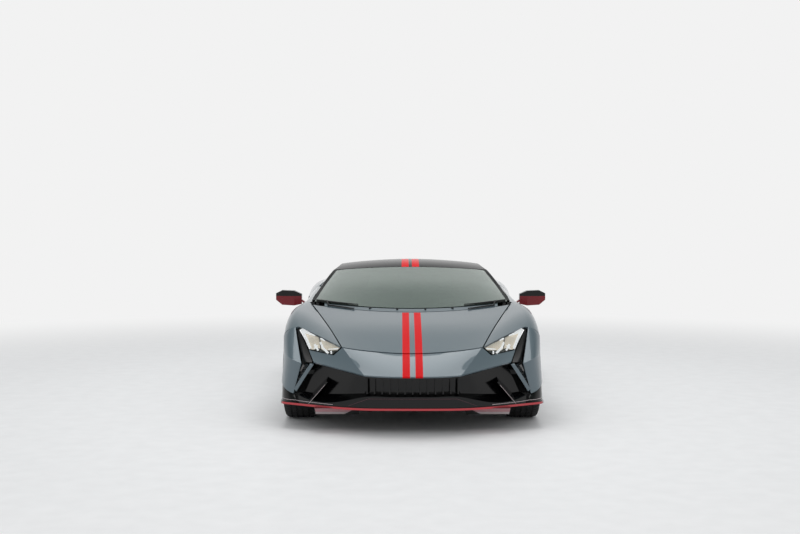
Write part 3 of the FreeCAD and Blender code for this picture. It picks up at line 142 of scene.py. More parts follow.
@dataclass(frozen=True)
class Finish:
    """One real material with the way its surface was made.

    Attributes:
        name: the material's common name.
        colour: its sRGB colour.
        roughness: how dull it is, 0 to 1.
        metallic: 1 for bare metal.
        ior: its index of refraction.
        coat: the share of a clear lacquer over it.
        transmission: 1 where light passes through.
        grain: the pattern of its relief.
        grain_mm: the real size of one grain.
        relief_mm: the depth of the relief.
        glow: how strongly it shines by itself, used here only as painted light on parts that no lamp lights.
        coat_roughness: how dull every lacquer is.
        relief_strength: how strongly every relief shows.
        brushing: how the pattern of a brushed face is scaled along each axis.
        dust_cells_per_m: how fine the patches of dust are.
        dust_tones: the darkest and the lightest tone of the dust, as shares of the colour.
    """

    name: str
    colour: str
    roughness: float
    metallic: float = 0.0
    ior: float = 1.5
    coat: float = 0.0
    transmission: float = 0.0
    grain: Grain = Grain.NONE
    grain_mm: float = 1.0
    relief_mm: float = 0.05
    glow: float = 0.0
    coat_roughness = 0.02
    relief_strength = 0.6
    brushing = (1.0, 0.02, 1.0)
    dust_cells_per_m = 7.0
    dust_tones = (0.94, 1.05)

    def material(self) -> bpy.types.Material:
        """Returns the Blender material, made once."""
        found = bpy.data.materials.get(self.name)
        if found:
            return found
        made = bpy.data.materials.new(self.name)
        made.use_nodes = True
        made.diffuse_color = linear(self.colour)
        tree = made.node_tree
        shader = tree.nodes["Principled BSDF"]
        shader.inputs["Base Color"].default_value = linear(self.colour)
        shader.inputs["Roughness"].default_value = self.roughness
        shader.inputs["Metallic"].default_value = self.metallic
        if self.metallic < 1:
            shader.inputs["IOR"].default_value = self.ior
        shader.inputs["Coat Weight"].default_value = self.coat
        shader.inputs["Coat Roughness"].default_value = self.coat_roughness
        shader.inputs["Transmission Weight"].default_value = self.transmission
        shader.inputs["Emission Color"].default_value = linear(self.colour)
        shader.inputs["Emission Strength"].default_value = self.glow
        self.colour_nodes(tree, shader)
        self.relief_nodes(tree, shader)
        return made

    def place(self, tree: bpy.types.NodeTree) -> bpy.types.NodeSocket:
        """Returns the socket of a point's place on the piece, in metres."""
        return add_node(tree, "ShaderNodeTexCoord").outputs["Object"]

    def colour_nodes(self, tree: bpy.types.NodeTree, shader: bpy.types.Node) -> None:
        """Varies the colour by a few percent, as dust and handling do."""
        place = self.place(tree)
        cloud = add_node(tree, "ShaderNodeTexNoise", {"Scale": self.dust_cells_per_m, "Detail": 3.0},
                         {"Vector": place})
        spread = add_node(tree, "ShaderNodeMapRange",
                          {"To Min": self.dust_tones[0], "To Max": self.dust_tones[1]},
                          {"Value": cloud.outputs["Fac"]})
        tone = add_node(tree, "ShaderNodeHueSaturation", {"Color": linear(self.colour)},
                        {"Value": spread.outputs["Result"]})
        tree.links.new(tone.outputs["Color"], shader.inputs["Base Color"])

    def relief_nodes(self, tree: bpy.types.NodeTree, shader: bpy.types.Node) -> None:
        """Adds the relief of the grain, its scale worked out from its real size."""
        if self.grain is Grain.NONE:
            return
        place = self.place(tree)
        cells = 1 / (self.grain_mm * MM)
        if self.grain is Grain.BRUSHED:
            stretched = add_node(tree, "ShaderNodeMapping", {"Scale": self.brushing}, {"Vector": place})
            place = stretched.outputs["Vector"]
        if self.grain in (Grain.HIDE, Grain.FLAKE):
            pattern = add_node(tree, "ShaderNodeTexVoronoi", {"Scale": cells}, {"Vector": place})
            height = pattern.outputs["Distance"]
        else:
            pattern = add_node(tree, "ShaderNodeTexNoise", {"Scale": cells, "Detail": 4.0}, {"Vector": place})
            height = pattern.outputs["Fac"]
        bump = add_node(tree, "ShaderNodeBump", {
            "Strength": self.relief_strength, "Distance": self.relief_mm * MM}, {"Height": height})
        tree.links.new(bump.outputs["Normal"], shader.inputs["Normal"])


@dataclass(frozen=True)
class StripedPaint(Finish):
    """A lacquered colour with two stripes that run along the car beside its centre line.

    Attributes:
        stripe: the stripes' sRGB colour.
        inner_mm: from the centre line to a stripe's inner edge.
        outer_mm: from the centre line to its outer edge.
        rear_m: the place along the car where the stripes end.
        film_coat: the share of lacquer over the stripes, which are a dull film.
        film_specular: how strongly the film itself mirrors.
    """

    stripe: str = "#D20D15"
    inner_mm: float = 19.0
    outer_mm: float = 71.0
    rear_m: float = 9.0
    film_coat: float = 0.0
    film_specular: float = 0.06

    def colour_nodes(self, tree: bpy.types.NodeTree, shader: bpy.types.Node) -> None:
        """Mixes the stripes into the base colour by the distance from the centre line."""
        parts = add_node(tree, "ShaderNodeSeparateXYZ", links={0: self.place(tree)})
        away = add_node(tree, "ShaderNodeMath", {"operation": "ABSOLUTE"}, {0: parts.outputs["X"]})
        mask = None
        for operation, limit, value in (
            ("GREATER_THAN", self.inner_mm * MM, away.outputs[0]),
            ("LESS_THAN", self.outer_mm * MM, away.outputs[0]),
            ("LESS_THAN", self.rear_m, parts.outputs["Y"]),
        ):
            test = add_node(tree, "ShaderNodeMath", {"operation": operation, 1: limit}, {0: value})
            if mask is not None:
                test = add_node(tree, "ShaderNodeMath", {"operation": "MULTIPLY"},
                                {0: mask, 1: test.outputs[0]})
            mask = test.outputs[0]
        mixed = add_node(tree, "ShaderNodeMix", {
            "data_type": "RGBA", 6: linear(self.colour), 7: linear(self.stripe)}, {"Factor": mask})
        tree.links.new(mixed.outputs[2], shader.inputs["Base Color"])
        for socket, film in (("Coat Weight", self.film_coat), ("Metallic", 0.0),
                             ("Specular IOR Level", self.film_specular)):
            dulled = add_node(tree, "ShaderNodeMapRange", {
                "To Min": shader.inputs[socket].default_value, "To Max": film}, {"Value": mask})
            tree.links.new(dulled.outputs["Result"], shader.inputs[socket])


@dataclass(frozen=True)
class SplitPaint(Finish):
    """A lacquered piece in two colours that part at one height.

    Attributes:
        lower: the sRGB colour below.
        split_m: the height where they part.
    """

    lower: str = "#7C1A22"
    split_m: float = 0.9

    def colour_nodes(self, tree: bpy.types.NodeTree, shader: bpy.types.Node) -> None:
        """Mixes the two colours by height."""
        parts = add_node(tree, "ShaderNodeSeparateXYZ", links={0: self.place(tree)})
        below = add_node(tree, "ShaderNodeMath", {"operation": "LESS_THAN", 1: self.split_m},
                         {0: parts.outputs["Z"]})
        mixed = add_node(tree, "ShaderNodeMix", {
            "data_type": "RGBA", 6: linear(self.colour), 7: linear(self.lower)}, {"Factor": below.outputs[0]})
        tree.links.new(mixed.outputs[2], shader.inputs["Base Color"])


# Lacquered metallic paint: fine aluminium flake under a clear coat, so it gleams softly and mirrors sharply.
BODY_PAINT = StripedPaint("metallic paint, blue grey", "#56656D", 0.4, 0.25, coat=0.85, grain=Grain.FLAKE,
                          grain_mm=0.6, relief_mm=0.004, rear_m=-1.18)
# Solid black over a pressed roof, with a low index so that it stays dark against the pale room.
ROOF_PAINT = StripedPaint("gloss black roof paint", "#08080A", 0.2, ior=1.3, inner_mm=14.0, outer_mm=74.0)
# Polished black polymer, which shows its form only by what it mirrors.
GLOSS_BLACK = Finish("gloss black ABS", "#050506", 0.16, ior=1.4)
# The mirrors' shells: gloss black caps over dark red lower halves.
MIRROR_PAINT = SplitPaint("two-tone mirror lacquer", "#060607", 0.2, ior=1.3, coat=0.2, lower="#761A22",
                          split_m=0.878)
# Black enamel fired on the inner face of the glass.
CERAMIC_BAND = Finish("black ceramic enamel", "#050505", 0.3)
# Plain black display glass, switched off.
DISPLAY_GLASS = Finish("black display glass", "#030304", 0.05)
# Vinyl film, a darker red than the stripes.
PINSTRIPE = Finish("red vinyl film", "#B3202C", 0.3, coat=0.5)
# Thin strips over black parts that paint light on them, each in a dulled tone of the stripes' red: a dark
# reflected edge over the mouth, the floor's pink reflection on the ramps, and pale highlights along edges.
PAINTED_DARK_REFLECTION = Finish("painted dark reflection film", "#4A2A33", 0.35, coat=0.4)
PAINTED_PINK_REFLECTION = Finish("painted pink reflection film", "#B07A80", 0.35, coat=0.4)
PAINTED_PALE_HIGHLIGHT = Finish("painted pale highlight film", "#B9ACAE", 0.35, coat=0.4)
# Moulded satin plastic, with the fine grain of its tool.
SATIN_BLACK = Finish("moulded black polypropylene", "#151516", 0.55, grain=Grain.MOULDED, grain_mm=1.2,
                     relief_mm=0.03)
# Pressed felt on a moulded shell, quite dull.
LINER_FELT = Finish("pressed felt liner", "#0E0E0F", 0.95, grain=Grain.MOULDED, grain_mm=2.5, relief_mm=0.25)
# Laminated glass, faintly green, with a heat-reflecting metal layer that mirrors the sky and hides the cabin.
SCREEN_GLASS = Finish("laminated glass", "#D3E0D8", 0.0, 0.55, ior=1.6, coat=0.6, transmission=1.0)
# Dark tinted safety glass.
TINTED_GLASS = Finish("tinted safety glass", "#3A4444", 0.0, ior=1.52, transmission=1.0)
# Clear moulded polycarbonate over the lamps.
LAMP_COVER = Finish("clear polycarbonate", "#F4F6F6", 0.0, ior=1.58, transmission=1.0)
# Vacuum-metallised reflector, frosted so that it spreads its light; its glow is painted light, which keeps it
# bright from all sides behind the clear cover though no lamp is lit.
REFLECTOR_PAINTED_GLOW = Finish("aluminised reflector", "#E2D9CB", 0.45, 0.3, glow=0.34)
# Red acrylic lens, which glows where light passes through it.
RED_LENS = Finish("red acrylic", "#8C0F14", 0.08, coat=0.8, transmission=0.25)
# Sand-cast aluminium, with the fine pits of its mould.
CAST_ALUMINIUM = Finish("cast aluminium", "#8E9092", 0.45, 1.0, grain=Grain.CAST, grain_mm=2.0,
                        relief_mm=0.06)
# Pressed steel under a dull black primer.
PRIMED_STEEL = Finish("primed pressed steel", "#242526", 0.5, grain=Grain.MOULDED, grain_mm=3.0,
                      relief_mm=0.02)
# Stainless steel, brushed along the pipe.
BRUSHED_STEEL = Finish("brushed stainless steel", "#A9A9A8", 0.3, 1.0, grain=Grain.BRUSHED, grain_mm=0.6,
                       relief_mm=0.02)
# Cast iron, turned on its braking faces.
TURNED_IRON = Finish("turned cast iron", "#76777A", 0.35, 1.0, grain=Grain.BRUSHED, grain_mm=1.0,
                     relief_mm=0.02)
# Forged aluminium wheel under satin black powder.
WHEEL_PAINT = Finish("satin black powder coat", "#161617", 0.35, coat=0.3)
# Vulcanised rubber, matt, with a bloom of dust.
RUBBER = Finish("vulcanised rubber", "#1B1B1C", 0.8, grain=Grain.MOULDED, grain_mm=1.5, relief_mm=0.08)
# Dyed hide, with its pores.
LEATHER = Finish("dyed leather", "#1D1C1C", 0.55, grain=Grain.HIDE, grain_mm=1.6, relief_mm=0.12)
# Brushed suede-like microfibre, with no gloss.
MICROFIBRE = Finish("microfibre cloth", "#232224", 0.95, grain=Grain.MOULDED, grain_mm=0.8, relief_mm=0.1)
# Soft-touch foil over foam, with a hide-like grain.
SOFT_DASH = Finish("soft-touch moulding", "#1A1A1B", 0.7, grain=Grain.HIDE, grain_mm=1.8, relief_mm=0.08)
# Red stitching thread.
RED_THREAD = Finish("red polyester thread", "#A3222B", 0.7)
# Front-silvered mirror glass.
MIRROR_GLASS = Finish("silvered mirror glass", "#E4E8EA", 0.0, 1.0)
# Frosted acrylic light guide, unlit; its glow is painted light, which makes it read as plain white behind the
# clear cover.
GUIDE_PAINTED_GLOW = Finish("frosted acrylic", "#F2F3F4", 0.35, glow=0.6)
# Clear red acrylic guide over small diodes, unlit; its faint glow is painted light.
RED_GUIDE_PAINTED_GLOW = Finish("red acrylic guide", "#D2222B", 0.2, glow=0.25)
# Caliper enamel, baked hard and glossy.
CALIPER_ENAMEL = Finish("black caliper enamel", "#101011", 0.25, coat=0.6)

NODE_FINISHES = {
    node: finish
    for finish, names in (
        (BODY_PAINT, "hood nose_panel front_wings cowl rear_quarters door_left door_right bumper_corners"
                     " rear_bumper rear_deck"),
        (ROOF_PAINT, "roof"),
        (MIRROR_PAINT, "mirror_left mirror_right"),
        (GLOSS_BLACK, "engine_lid windscreen_pillars front_intake splitter side_sills"),
        (SATIN_BLACK, "tail_panel diffuser floor_pan"),
        (SCREEN_GLASS, "windscreen rear_window"),
        (TINTED_GLASS, "sail_panels door_glass_left door_glass_right"),
        (LAMP_COVER, "headlamps"),
        (RED_LENS, "tail_lamps"),
        (BRUSHED_STEEL, "exhaust"),
        (PRIMED_STEEL, "cabin_tub front_frame rear_frame"),
        (LINER_FELT, "front_arch_liners rear_arch_liners"),
        (CAST_ALUMINIUM, "engine front_suspension rear_suspension front_knuckle_left front_knuckle_right"),
        (LEATHER, "seats steering_wheel"),
        (SOFT_DASH, "dashboard"),
        (WHEEL_PAINT, "front_rim_left front_rim_right rear_rim_left rear_rim_right"),
        (RUBBER, "front_tyre_left front_tyre_right rear_tyre_left rear_tyre_right"),
    )
    for node in names.split()
}

Point = Sequence[float]
Pair = tuple[float, float]


def along(station_mm: float) -> float:
    """Returns the place along the car of a station, which is drawn in mm behind the nose's end of the box."""
    return (station_mm - DRAWN_HALF_MM) * MM


def at(station_mm: float, x_mm: float, z_mm: float) -> Vector:
    """Returns the point at a station, a half-breadth and a height, all in mm."""
    return Vector((x_mm * MM, along(station_mm), z_mm * MM))


def turns(count: int) -> list[float]:
    """Returns evenly spaced angles of one full turn."""
    return [math.tau * i / count for i in range(count)]


def divided(corners: Sequence[Pair], steps: int) -> list[Pair]:
    """Returns points at even steps along a line of corners, its ends included."""
    points = []
    for (x0, z0), (x1, z1) in zip(corners, corners[1:]):
        points += [(x0 + (x1 - x0) * i / steps, z0 + (z1 - z0) * i / steps) for i in range(steps)]
    return [*points, corners[-1]]


def scaled(outline: Sequence[Pair], middle: Pair, share: float) -> list[Pair]:
    """Returns an outline grown or shrunk about a point."""
    return [(middle[0] + (x - middle[0]) * share, middle[1] + (z - middle[1]) * share) for x, z in outline]


def middle_of(outline: Sequence[Pair]) -> Pair:
    """Returns the mean of an outline's corners."""
    across, up = (sum(p[k] for p in outline) / len(outline) for k in (0, 1))
    return across, up


def inside(point: Pair, outline: Sequence[Pair]) -> bool:
    """Tells whether a point lies within an outline."""
    hit = False
    for (x0, z0), (x1, z1) in zip(outline, [*outline[1:], outline[0]]):
        if (z0 > point[1]) != (z1 > point[1]):
            hit ^= point[0] < (x1 - x0) * (point[1] - z0) / (z1 - z0) + x0
    return hit


def honeycomb(outline: Sequence[Pair], cell: float) -> list[tuple[Pair, Pair]]:
    """Lays a honeycomb over an outline.

    Args:
        outline: the corners of the area.
        cell: the distance between the flat sides of a cell.

    Returns:
        The two ends of each cell wall that lies within the outline.
    """
    reach = cell / math.sqrt(3)
    rise = 1.5 * reach
    low_x, low_z = (min(p[k] for p in outline) for k in (0, 1))
    high_x, high_z = (max(p[k] for p in outline) for k in (0, 1))
    walls = []
    for row in range(int((high_z - low_z) / rise) + 2):
        for column in range(int((high_x - low_x) / cell) + 2):
            x, z = low_x + (column + 0.5 * (row % 2)) * cell, low_z + row * rise
            ring = [(x + reach * math.sin(a), z + reach * math.cos(a))
                    for a in (math.radians(60 * i) for i in range(4))]
            walls += [(a, b) for a, b in zip(ring, ring[1:]) if inside(a, outline) and inside(b, outline)]
    return walls


def face_outward(mesh: bpy.types.Mesh, weld: float = 0.0) -> None:
    """Turns a mesh's faces outward, after joining the points that lie closer than the weld."""
    work = bmesh.new()
    work.from_mesh(mesh)
    if weld:
        bmesh.ops.remove_doubles(work, verts=work.verts, dist=weld)
    bmesh.ops.recalc_face_normals(work, faces=work.faces)
    work.to_mesh(mesh)
    work.free()


class Shape:
    """A mesh put together from simple forms, then made into one piece."""

    def __init__(self) -> None:
        """Starts with nothing in it."""
        self.points: list[Vector] = []
        self.faces: list[tuple[int, ...]] = []

    def add(self, points: Sequence[Vector], faces: Sequence[Sequence[int]]) -> "Shape":
        """Adds points and the faces between them.

        Args:
            points: places in the car's frame.
            faces: each face's corners, counted from the first of these points.

        Returns:
            This shape.
        """
        start = len(self.points)
        self.points.extend(Vector(p) for p in points)
        self.faces.extend(tuple(start + i for i in face) for face in faces)
        return self

    def rows(self, rows: Sequence[Sequence[Vector]], closed: bool = False, capped: bool = False) -> "Shape":
        """Adds a sheet through rows of points.

        Args:
            rows: rows of one length.
            closed: joins the ends of each row.
            capped: closes the first and last row with a face.

        Returns:
            This shape.
        """
        width = len(rows[0])
        faces: list[tuple[int, ...]] = []
        for i in range(len(rows) - 1):
            for j in range(width if closed else width - 1):
                k = (j + 1) % width
                faces.append((i * width + j, i * width + k, (i + 1) * width + k, (i + 1) * width + j))
        if capped:
            faces.append(tuple(range(width))[::-1])
            faces.append(tuple((len(rows) - 1) * width + j for j in range(width)))
        return self.add([p for row in rows for p in row], faces)

    def prism(self, *rings: Sequence[Vector]) -> "Shape":
        """Adds a solid through closed rings of points, the first and the last of them filled."""
        return self.rows(rings, closed=True, capped=True)

    def plate(self, ring: Sequence[Vector], depth: Vector) -> "Shape":
        """Adds a plate with a closed ring as its face, thickened."""
        return self.prism(ring, [p + depth for p in ring])

    def tube(self, path: Sequence[Vector], radius: float, sides: int = 8, squash: float = 1.0) -> "Shape":
        """Adds a round or flattened bar along a path.

        Args:
            path: its centre line.
            radius: half its width.
            sides: the number of its sides.
            squash: its height as a share of its width.

        Returns:
            This shape.
        """
        rows = []
        for i, point in enumerate(path):
            run = (path[min(i + 1, len(path) - 1)] - path[max(i - 1, 0)]).normalized()
            side = run.cross(Vector((0, 0, 1)))
            side = side.normalized() if side.length > 1e-6 else Vector((1, 0, 0))
            top = side.cross(run)
            rows.append([point + side * radius * math.cos(a) + top * radius * squash * math.sin(a)
                         for a in turns(sides)])
        return self.prism(*rows)

    def slab(self, first: Sequence[Vector], second: Sequence[Vector], depth: Vector) -> "Shape":
        """Adds a strip between two edges, thickened.

        Args:
            first: one edge.
            second: the other, with as many points.
            depth: from its face to its back.

        Returns:
            This shape.
        """
        return self.prism(*([a, b, b + depth, a + depth] for a, b in zip(first, second)))

    def block(self, low: Point, high: Point) -> "Shape":
        """Adds a box between two corners."""
        x0, y0, z0 = low
        x1, y1, z1 = high
        return self.prism(*([Vector((x, y, z)) for y, z in ((y0, z0), (y1, z0), (y1, z1), (y0, z1))]
                            for x in (x0, x1)))

    def turned(self, centre: Vector, profile: Sequence[Pair], count: int = 48) -> "Shape":
        """Adds a body of revolution about the car's cross axis.

        Args:
            centre: a point on the axis.
            profile: (place along the axis, radius) pairs, the last joined to the first.
            count: steps round the axis.

        Returns:
            This shape.
        """
        rows = [[centre + Vector((x, r * math.cos(a), r * math.sin(a))) for x, r in profile]
                for a in turns(count)]
        width = len(profile)
        faces = []
        for i in range(count):
            for j in range(width):
                k, n = (j + 1) % width, (i + 1) % count
                faces.append((i * width + j, n * width + j, n * width + k, i * width + k))
        return self.add([p for row in rows for p in row], faces)

    def piece(self, name: str, finish: Finish, body: str = CHASSIS,
              sharp_deg: float = 35.0) -> bpy.types.Object:
        """Makes the Blender object and sets it on its body.

        Args:
            name: the piece's name.
            finish: what it is made of.
            body: the CAD body that it rides on.
            sharp_deg: edges that bend by more than this stay sharp.

        Returns:
            The object.
        """
        mesh = bpy.data.meshes.new(name)
        mesh.from_pydata(self.points, [], self.faces)
        mesh.validate()
        face_outward(mesh)
        mesh.shade_smooth()
        mesh.set_sharp_from_angle(angle=math.radians(sharp_deg))
        mesh.materials.append(finish.material())
        made = bpy.data.objects.new(name, mesh)
        bpy.context.scene.collection.objects.link(made)
        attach(made, body)
        log.info("%s: %d faces on %s", name, len(mesh.polygons), body)
        return made


class Skin:
    """The outside of some CAD nodes, for pieces that lie on it."""

    def __init__(self, nodes: dict[str, bpy.types.Object], names: Sequence[str]) -> None:
        """Gathers the nodes' faces into one search tree.

        Args:
            nodes: every CAD node by name.
            names: the ones to lie on.
        """
        points: list[Vector] = []
        faces: list[tuple[int, ...]] = []
        for name in names:
            start = len(points)
            points.extend(v.co for v in nodes[name].data.vertices)
            faces.extend(tuple(start + i for i in p.vertices) for p in nodes[name].data.polygons)
        self.tree = BVHTree.FromPolygons(points, faces)

    def meet(self, start: Vector, heading: Vector, lift: float = LIFT) -> Vector | None:
        """Finds where a ray first meets the skin.

        Args:
            start: where the ray begins.
            heading: its direction.
            lift: how far before the skin to stop.

        Returns:
            The point, or None where the ray misses.
        """
        place, _, _, _ = self.tree.ray_cast(start, heading)
        return None if place is None else place - heading.normalized() * lift

    def find(self, start: Vector, heading: Vector, lift: float = LIFT) -> Vector:
        """Returns where a ray first meets the skin, and stops the script if it misses."""
        found = self.meet(start, heading, lift)
        if found is None:
            raise ValueError(f"no skin ahead of {start}")
        return found

    def ground(self, x_mm: float, station_mm: float) -> Vector:
        """Returns the point of the skin under a plan point, or beside it where that falls in a gap."""
        for shift in (0, 8, -8, 16, -16, 32, -32):
            found = self.meet(at(station_mm + shift, x_mm, ABOVE_MM), Vector((0, 0, -1)), 0.0)
            if found is not None:
                return Vector((found.x, along(station_mm), found.z))
        raise ValueError(f"no skin near {x_mm:.0f}, {station_mm:.0f}")

    def from_front(self, x_mm: float, z_mm: float, lift: float = LIFT) -> Vector | None:
        """Returns the point of the skin seen from in front, if there is one."""
        return self.meet(at(AHEAD_MM, x_mm, z_mm), Vector((0, 1, 0)), lift)

    def from_behind(self, x_mm: float, z_mm: float, lift: float = LIFT) -> Vector:
        """Returns the point of the skin seen from behind."""
        return self.find(at(BEHIND_MM, x_mm, z_mm), Vector((0, -1, 0)), lift)

    def from_beside(self, side: str, station_mm: float, z_mm: float, lift: float = LIFT) -> Vector:
        """Returns the point of the skin seen from one side of the car."""
        out = sign_of(side)
        return self.find(at(station_mm, out * BESIDE_MM, z_mm), Vector((-out, 0, 0)), lift)


@dataclass
class AtWheel:
    """Something that belongs to one wheel.

    Attributes:
        end: "front" or "rear".
        side: "left" or "right".
    """

    end: str
    side: str

    def __post_init__(self) -> None:
        """Works out the names and the place that its pieces share."""
        self.tag = f"{self.end}_{self.side}"
        self.wheel = f"{self.end}_wheel_{self.side}"
        self.out = sign_of(self.side)
        low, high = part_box(f"{self.end}_rim_{self.side}")
        self.hub = (low + high) / 2
        self.rim_radius = (high.z - low.z) / 2


@dataclass
class Tyre(AtWheel):
    """A road tyre: bulged walls with rim guards, and a grooved tread that keeps the CAD tyre's form.

    Attributes:
        groove_depth: how deep the tread's grooves are.
        groove_width: how wide the ones round it are.
        slot_depth: how deep the slots across its shoulders are.
        pitches: how many slots go round it.
        flange: how far the rim's edge stands over the bead.
        slant: how far round a slot runs from the middle to the side, in pitches.
        grooves: each groove's place as a share of half the width, with the share of a slot's depth beside it.
    """

    groove_depth: float = 6.5 * MM
    groove_width: float = 9.0 * MM
    slot_depth: float = 5.0 * MM
    pitches: int = 64
    flange: float = 12 * MM
    slant: float = 0.9
    grooves: tuple[Pair, ...] = ((0.52, 1.0), (0.17, 0.5))

    def profile(self, half: float, bead: float, radius: float) -> list[tuple[float, float, float]]:
        """Draws half the section, from the bead to the middle of the tread.

        Args:
            half: half the tyre's width.
            bead: its radius at the rim.
            radius: its radius at the tread.

        Returns:
            (place across, radius, share of a slot's depth) for each point.
        """
        section = [(half - inset * MM, bead + rise * MM, 0.0) for inset, rise in TYRE_WALL_MM]
        section += [(half - inset * MM, radius - fall * MM, share) for inset, fall, share in TYRE_SHOULDER_MM]
        chamfer, crowning = 1 * MM, 1.2 * MM
        for place, share in self.grooves:
            centre = place * half
            near, far = centre + self.groove_width / 2, centre - self.groove_width / 2
            crown = radius - crowning * (centre / half) ** 2
            section += [(near + chamfer, crown, share), (near, crown - self.groove_depth, 0.0),
                        (far, crown - self.groove_depth, 0.0), (far - chamfer, crown, 0.4)]
        return section

    def build(self) -> None:
        """Makes the tyre in place of its CAD node."""
        node = f"{self.end}_tyre_{self.side}"
        low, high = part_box(node)
        centre = (low + high) / 2
        half = (high.x - low.x) / 2
        bead = self.rim_radius - self.flange
        right = self.profile(half, bead, (high.z - low.z) / 2)
        section = right + [(-x, r, share) for x, r, share in reversed(right)]
        rows = []
        for pitch in range(self.pitches):
            for place, sunk in TYRE_PITCH:
                row = []
                for x, r, share in section:
                    skew = self.slant * abs(x) / half / self.pitches if share else 0.0
                    a = math.tau * ((pitch + place) / self.pitches + skew)
                    depth = self.slot_depth * share * sunk
                    row.append(centre + Vector((x, (r - depth) * math.sin(a), (r - depth) * math.cos(a))))
                rows.append(row)
        shape = Shape().rows([*rows, rows[0]])
        inner = half - TYRE_WALL_MM[0][0] * MM
        shape.rows([[centre + Vector((x, bead * math.sin(a), bead * math.cos(a))) for x in (inner, -inner)]
                    for a in (*turns(72), math.tau)])
        tyre = shape.piece(f"tread_{node}", RUBBER, self.wheel)
        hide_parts(node)


@dataclass
class WheelTrim(AtWheel):
    """What is bolted to a wheel: its nuts and a plain centre cap.

    Attributes:
        bolt_circle: the radius that the nuts stand on.
        hub_rise: how far the hub's face stands out past the spokes'.
        bolts: how many nuts there are.
        cap: half the section of the cap as (distance out, radius) in mm, kept just off the axis.
        nut: the same for a nut.
    """

    bolt_circle: float = 56.0 * MM
    hub_rise: float = 16.0 * MM
    bolts: int = 5
    cap: tuple[Pair, ...] = ((0, 0.5), (4, 0.5), (4, 30), (2, 33), (0, 33))
    nut: tuple[Pair, ...] = ((0, 0.5), (9, 0.5), (9, 7), (0, 10))

    def build(self) -> None:
        """Makes the trim of one wheel."""
        face = self.hub + Vector((self.out * (FACE_DEPTH + self.hub_rise), 0, 0))
        cap, nut = ([(self.out * x * MM, r * MM) for x, r in section] for section in (self.cap, self.nut))
        Shape().turned(face, cap).piece(f"cap_{self.tag}", GLOSS_BLACK, self.wheel)
        nuts = Shape()
        for a in (math.tau * (i + 0.5) / self.bolts for i in range(self.bolts)):
            nuts.turned(face + Vector((0, math.sin(a), math.cos(a))) * self.bolt_circle, nut, 6)
        nuts.piece(f"nuts_{self.tag}", BRUSHED_STEEL, self.wheel)


@dataclass
class Brake(AtWheel):
    """One wheel's brake as it shows between the spokes: disc faces with the shade of drilled holes painted
    on, and the caliper's enamelled cover.

    Attributes:
        disc_half: half the thickness of the CAD disc.
        inner: the inner radius of the braking face.
        outer: its outer radius.
        caliper_face: how far out the CAD caliper ends.
        caliper_inner: the radius of the caliper's inner edge.
        caliper_outer: the radius of its outer edge.
        caliper_reach: how far it runs to each side of its middle, in degrees.
        hole_rows: how many slanting rows of holes the disc has.
        holes_each: how many holes each row has.
        hole_radius: the radius of a hole.
    """

    disc_half: float = 15.0 * MM
    inner: float = 86.0 * MM
    outer: float = 186.0 * MM
    caliper_face: float = 34.0 * MM
    caliper_inner: float = 142.0 * MM
    caliper_outer: float = 208.0 * MM
    caliper_reach: float = 24.0
    hole_rows: int = 18
    holes_each: int = 4
    hole_radius: float = 3.6 * MM

    def build(self) -> None:
        """Makes the faces, the painted shade of their holes and the cover."""
        self.faces()
        self.holes()
        self.cover()

    def spot(self, x: float, radius: float, angle: float) -> Vector:
        """Returns a point at a distance out, a radius, and an angle up from the tail's side."""
        return self.hub + Vector((self.out * x, radius * math.cos(angle), radius * math.sin(angle)))

    def faces(self) -> None:
        """Makes the turned ring on each face of the disc."""
        shape = Shape()
        skin = 0.6 * MM
        for near, far in ((self.disc_half, self.disc_half + skin), (-self.disc_half - skin, -self.disc_half)):
            x0, x1 = self.out * near, self.out * far
            ring = [(x0, self.inner), (x1, self.inner), (x1, self.outer), (x0, self.outer)]
            shape.turned(self.hub, ring, 72)
        shape.piece(f"disc_faces_{self.tag}", TURNED_IRON, self.wheel)

    def holes(self) -> None:
        """Paints the shade in the holes drilled through the outer face as thin dark discs on it, in slanting
        rows; the face itself is not cut.
        """
        shape = Shape()
        x = self.disc_half + 0.9 * MM
        thick = Vector((self.out * 0.2 * MM, 0, 0))
        slant, margin = 0.35, 0.8
        spacing = (self.outer - self.inner) / (self.holes_each + 2 * margin - 1)
        for row in range(self.hole_rows):
            for k in range(self.holes_each):
                radius = self.inner + (k + margin) * spacing
                centre = self.spot(x, radius, math.tau * (row + slant * k) / self.hole_rows)
                ring = [centre + Vector((0, math.cos(a), math.sin(a))) * self.hole_radius for a in turns(8)]
                shape.plate(ring, -thick)
        shape.piece(f"disc_hole_shade_{self.tag}", SATIN_BLACK, self.wheel)

    def cover(self) -> None:
        """Makes the caliper's cover, crowned along its middle, with its four bolts."""
        low, high, face = self.caliper_inner, self.caliper_outer, self.caliper_face
        section = ((face + 0.4 * MM, low), (face + 4 * MM, low + 4 * MM), (face + 7 * MM, (low + high) / 2),
                   (face + 4 * MM, high - 4 * MM), (face + 0.4 * MM, high))
        reach = math.radians(self.caliper_reach)
        shape = Shape().prism(*(
            [self.spot(x, r, reach * i / 6) for x, r in section] for i in range(-6, 7)))
        for angle in (-0.32, -0.14, 0.14, 0.32):
            bolt = self.spot(face + 5 * MM, low + 15 * MM, angle)
            shape.tube([bolt, bolt + Vector((self.out * 3.5 * MM, 0, 0))], 6 * MM, 6)
        body = f"knuckle_{self.side}" if self.end == "front" else CHASSIS
        shape.piece(f"caliper_cover_{self.tag}", CALIPER_ENAMEL, body)


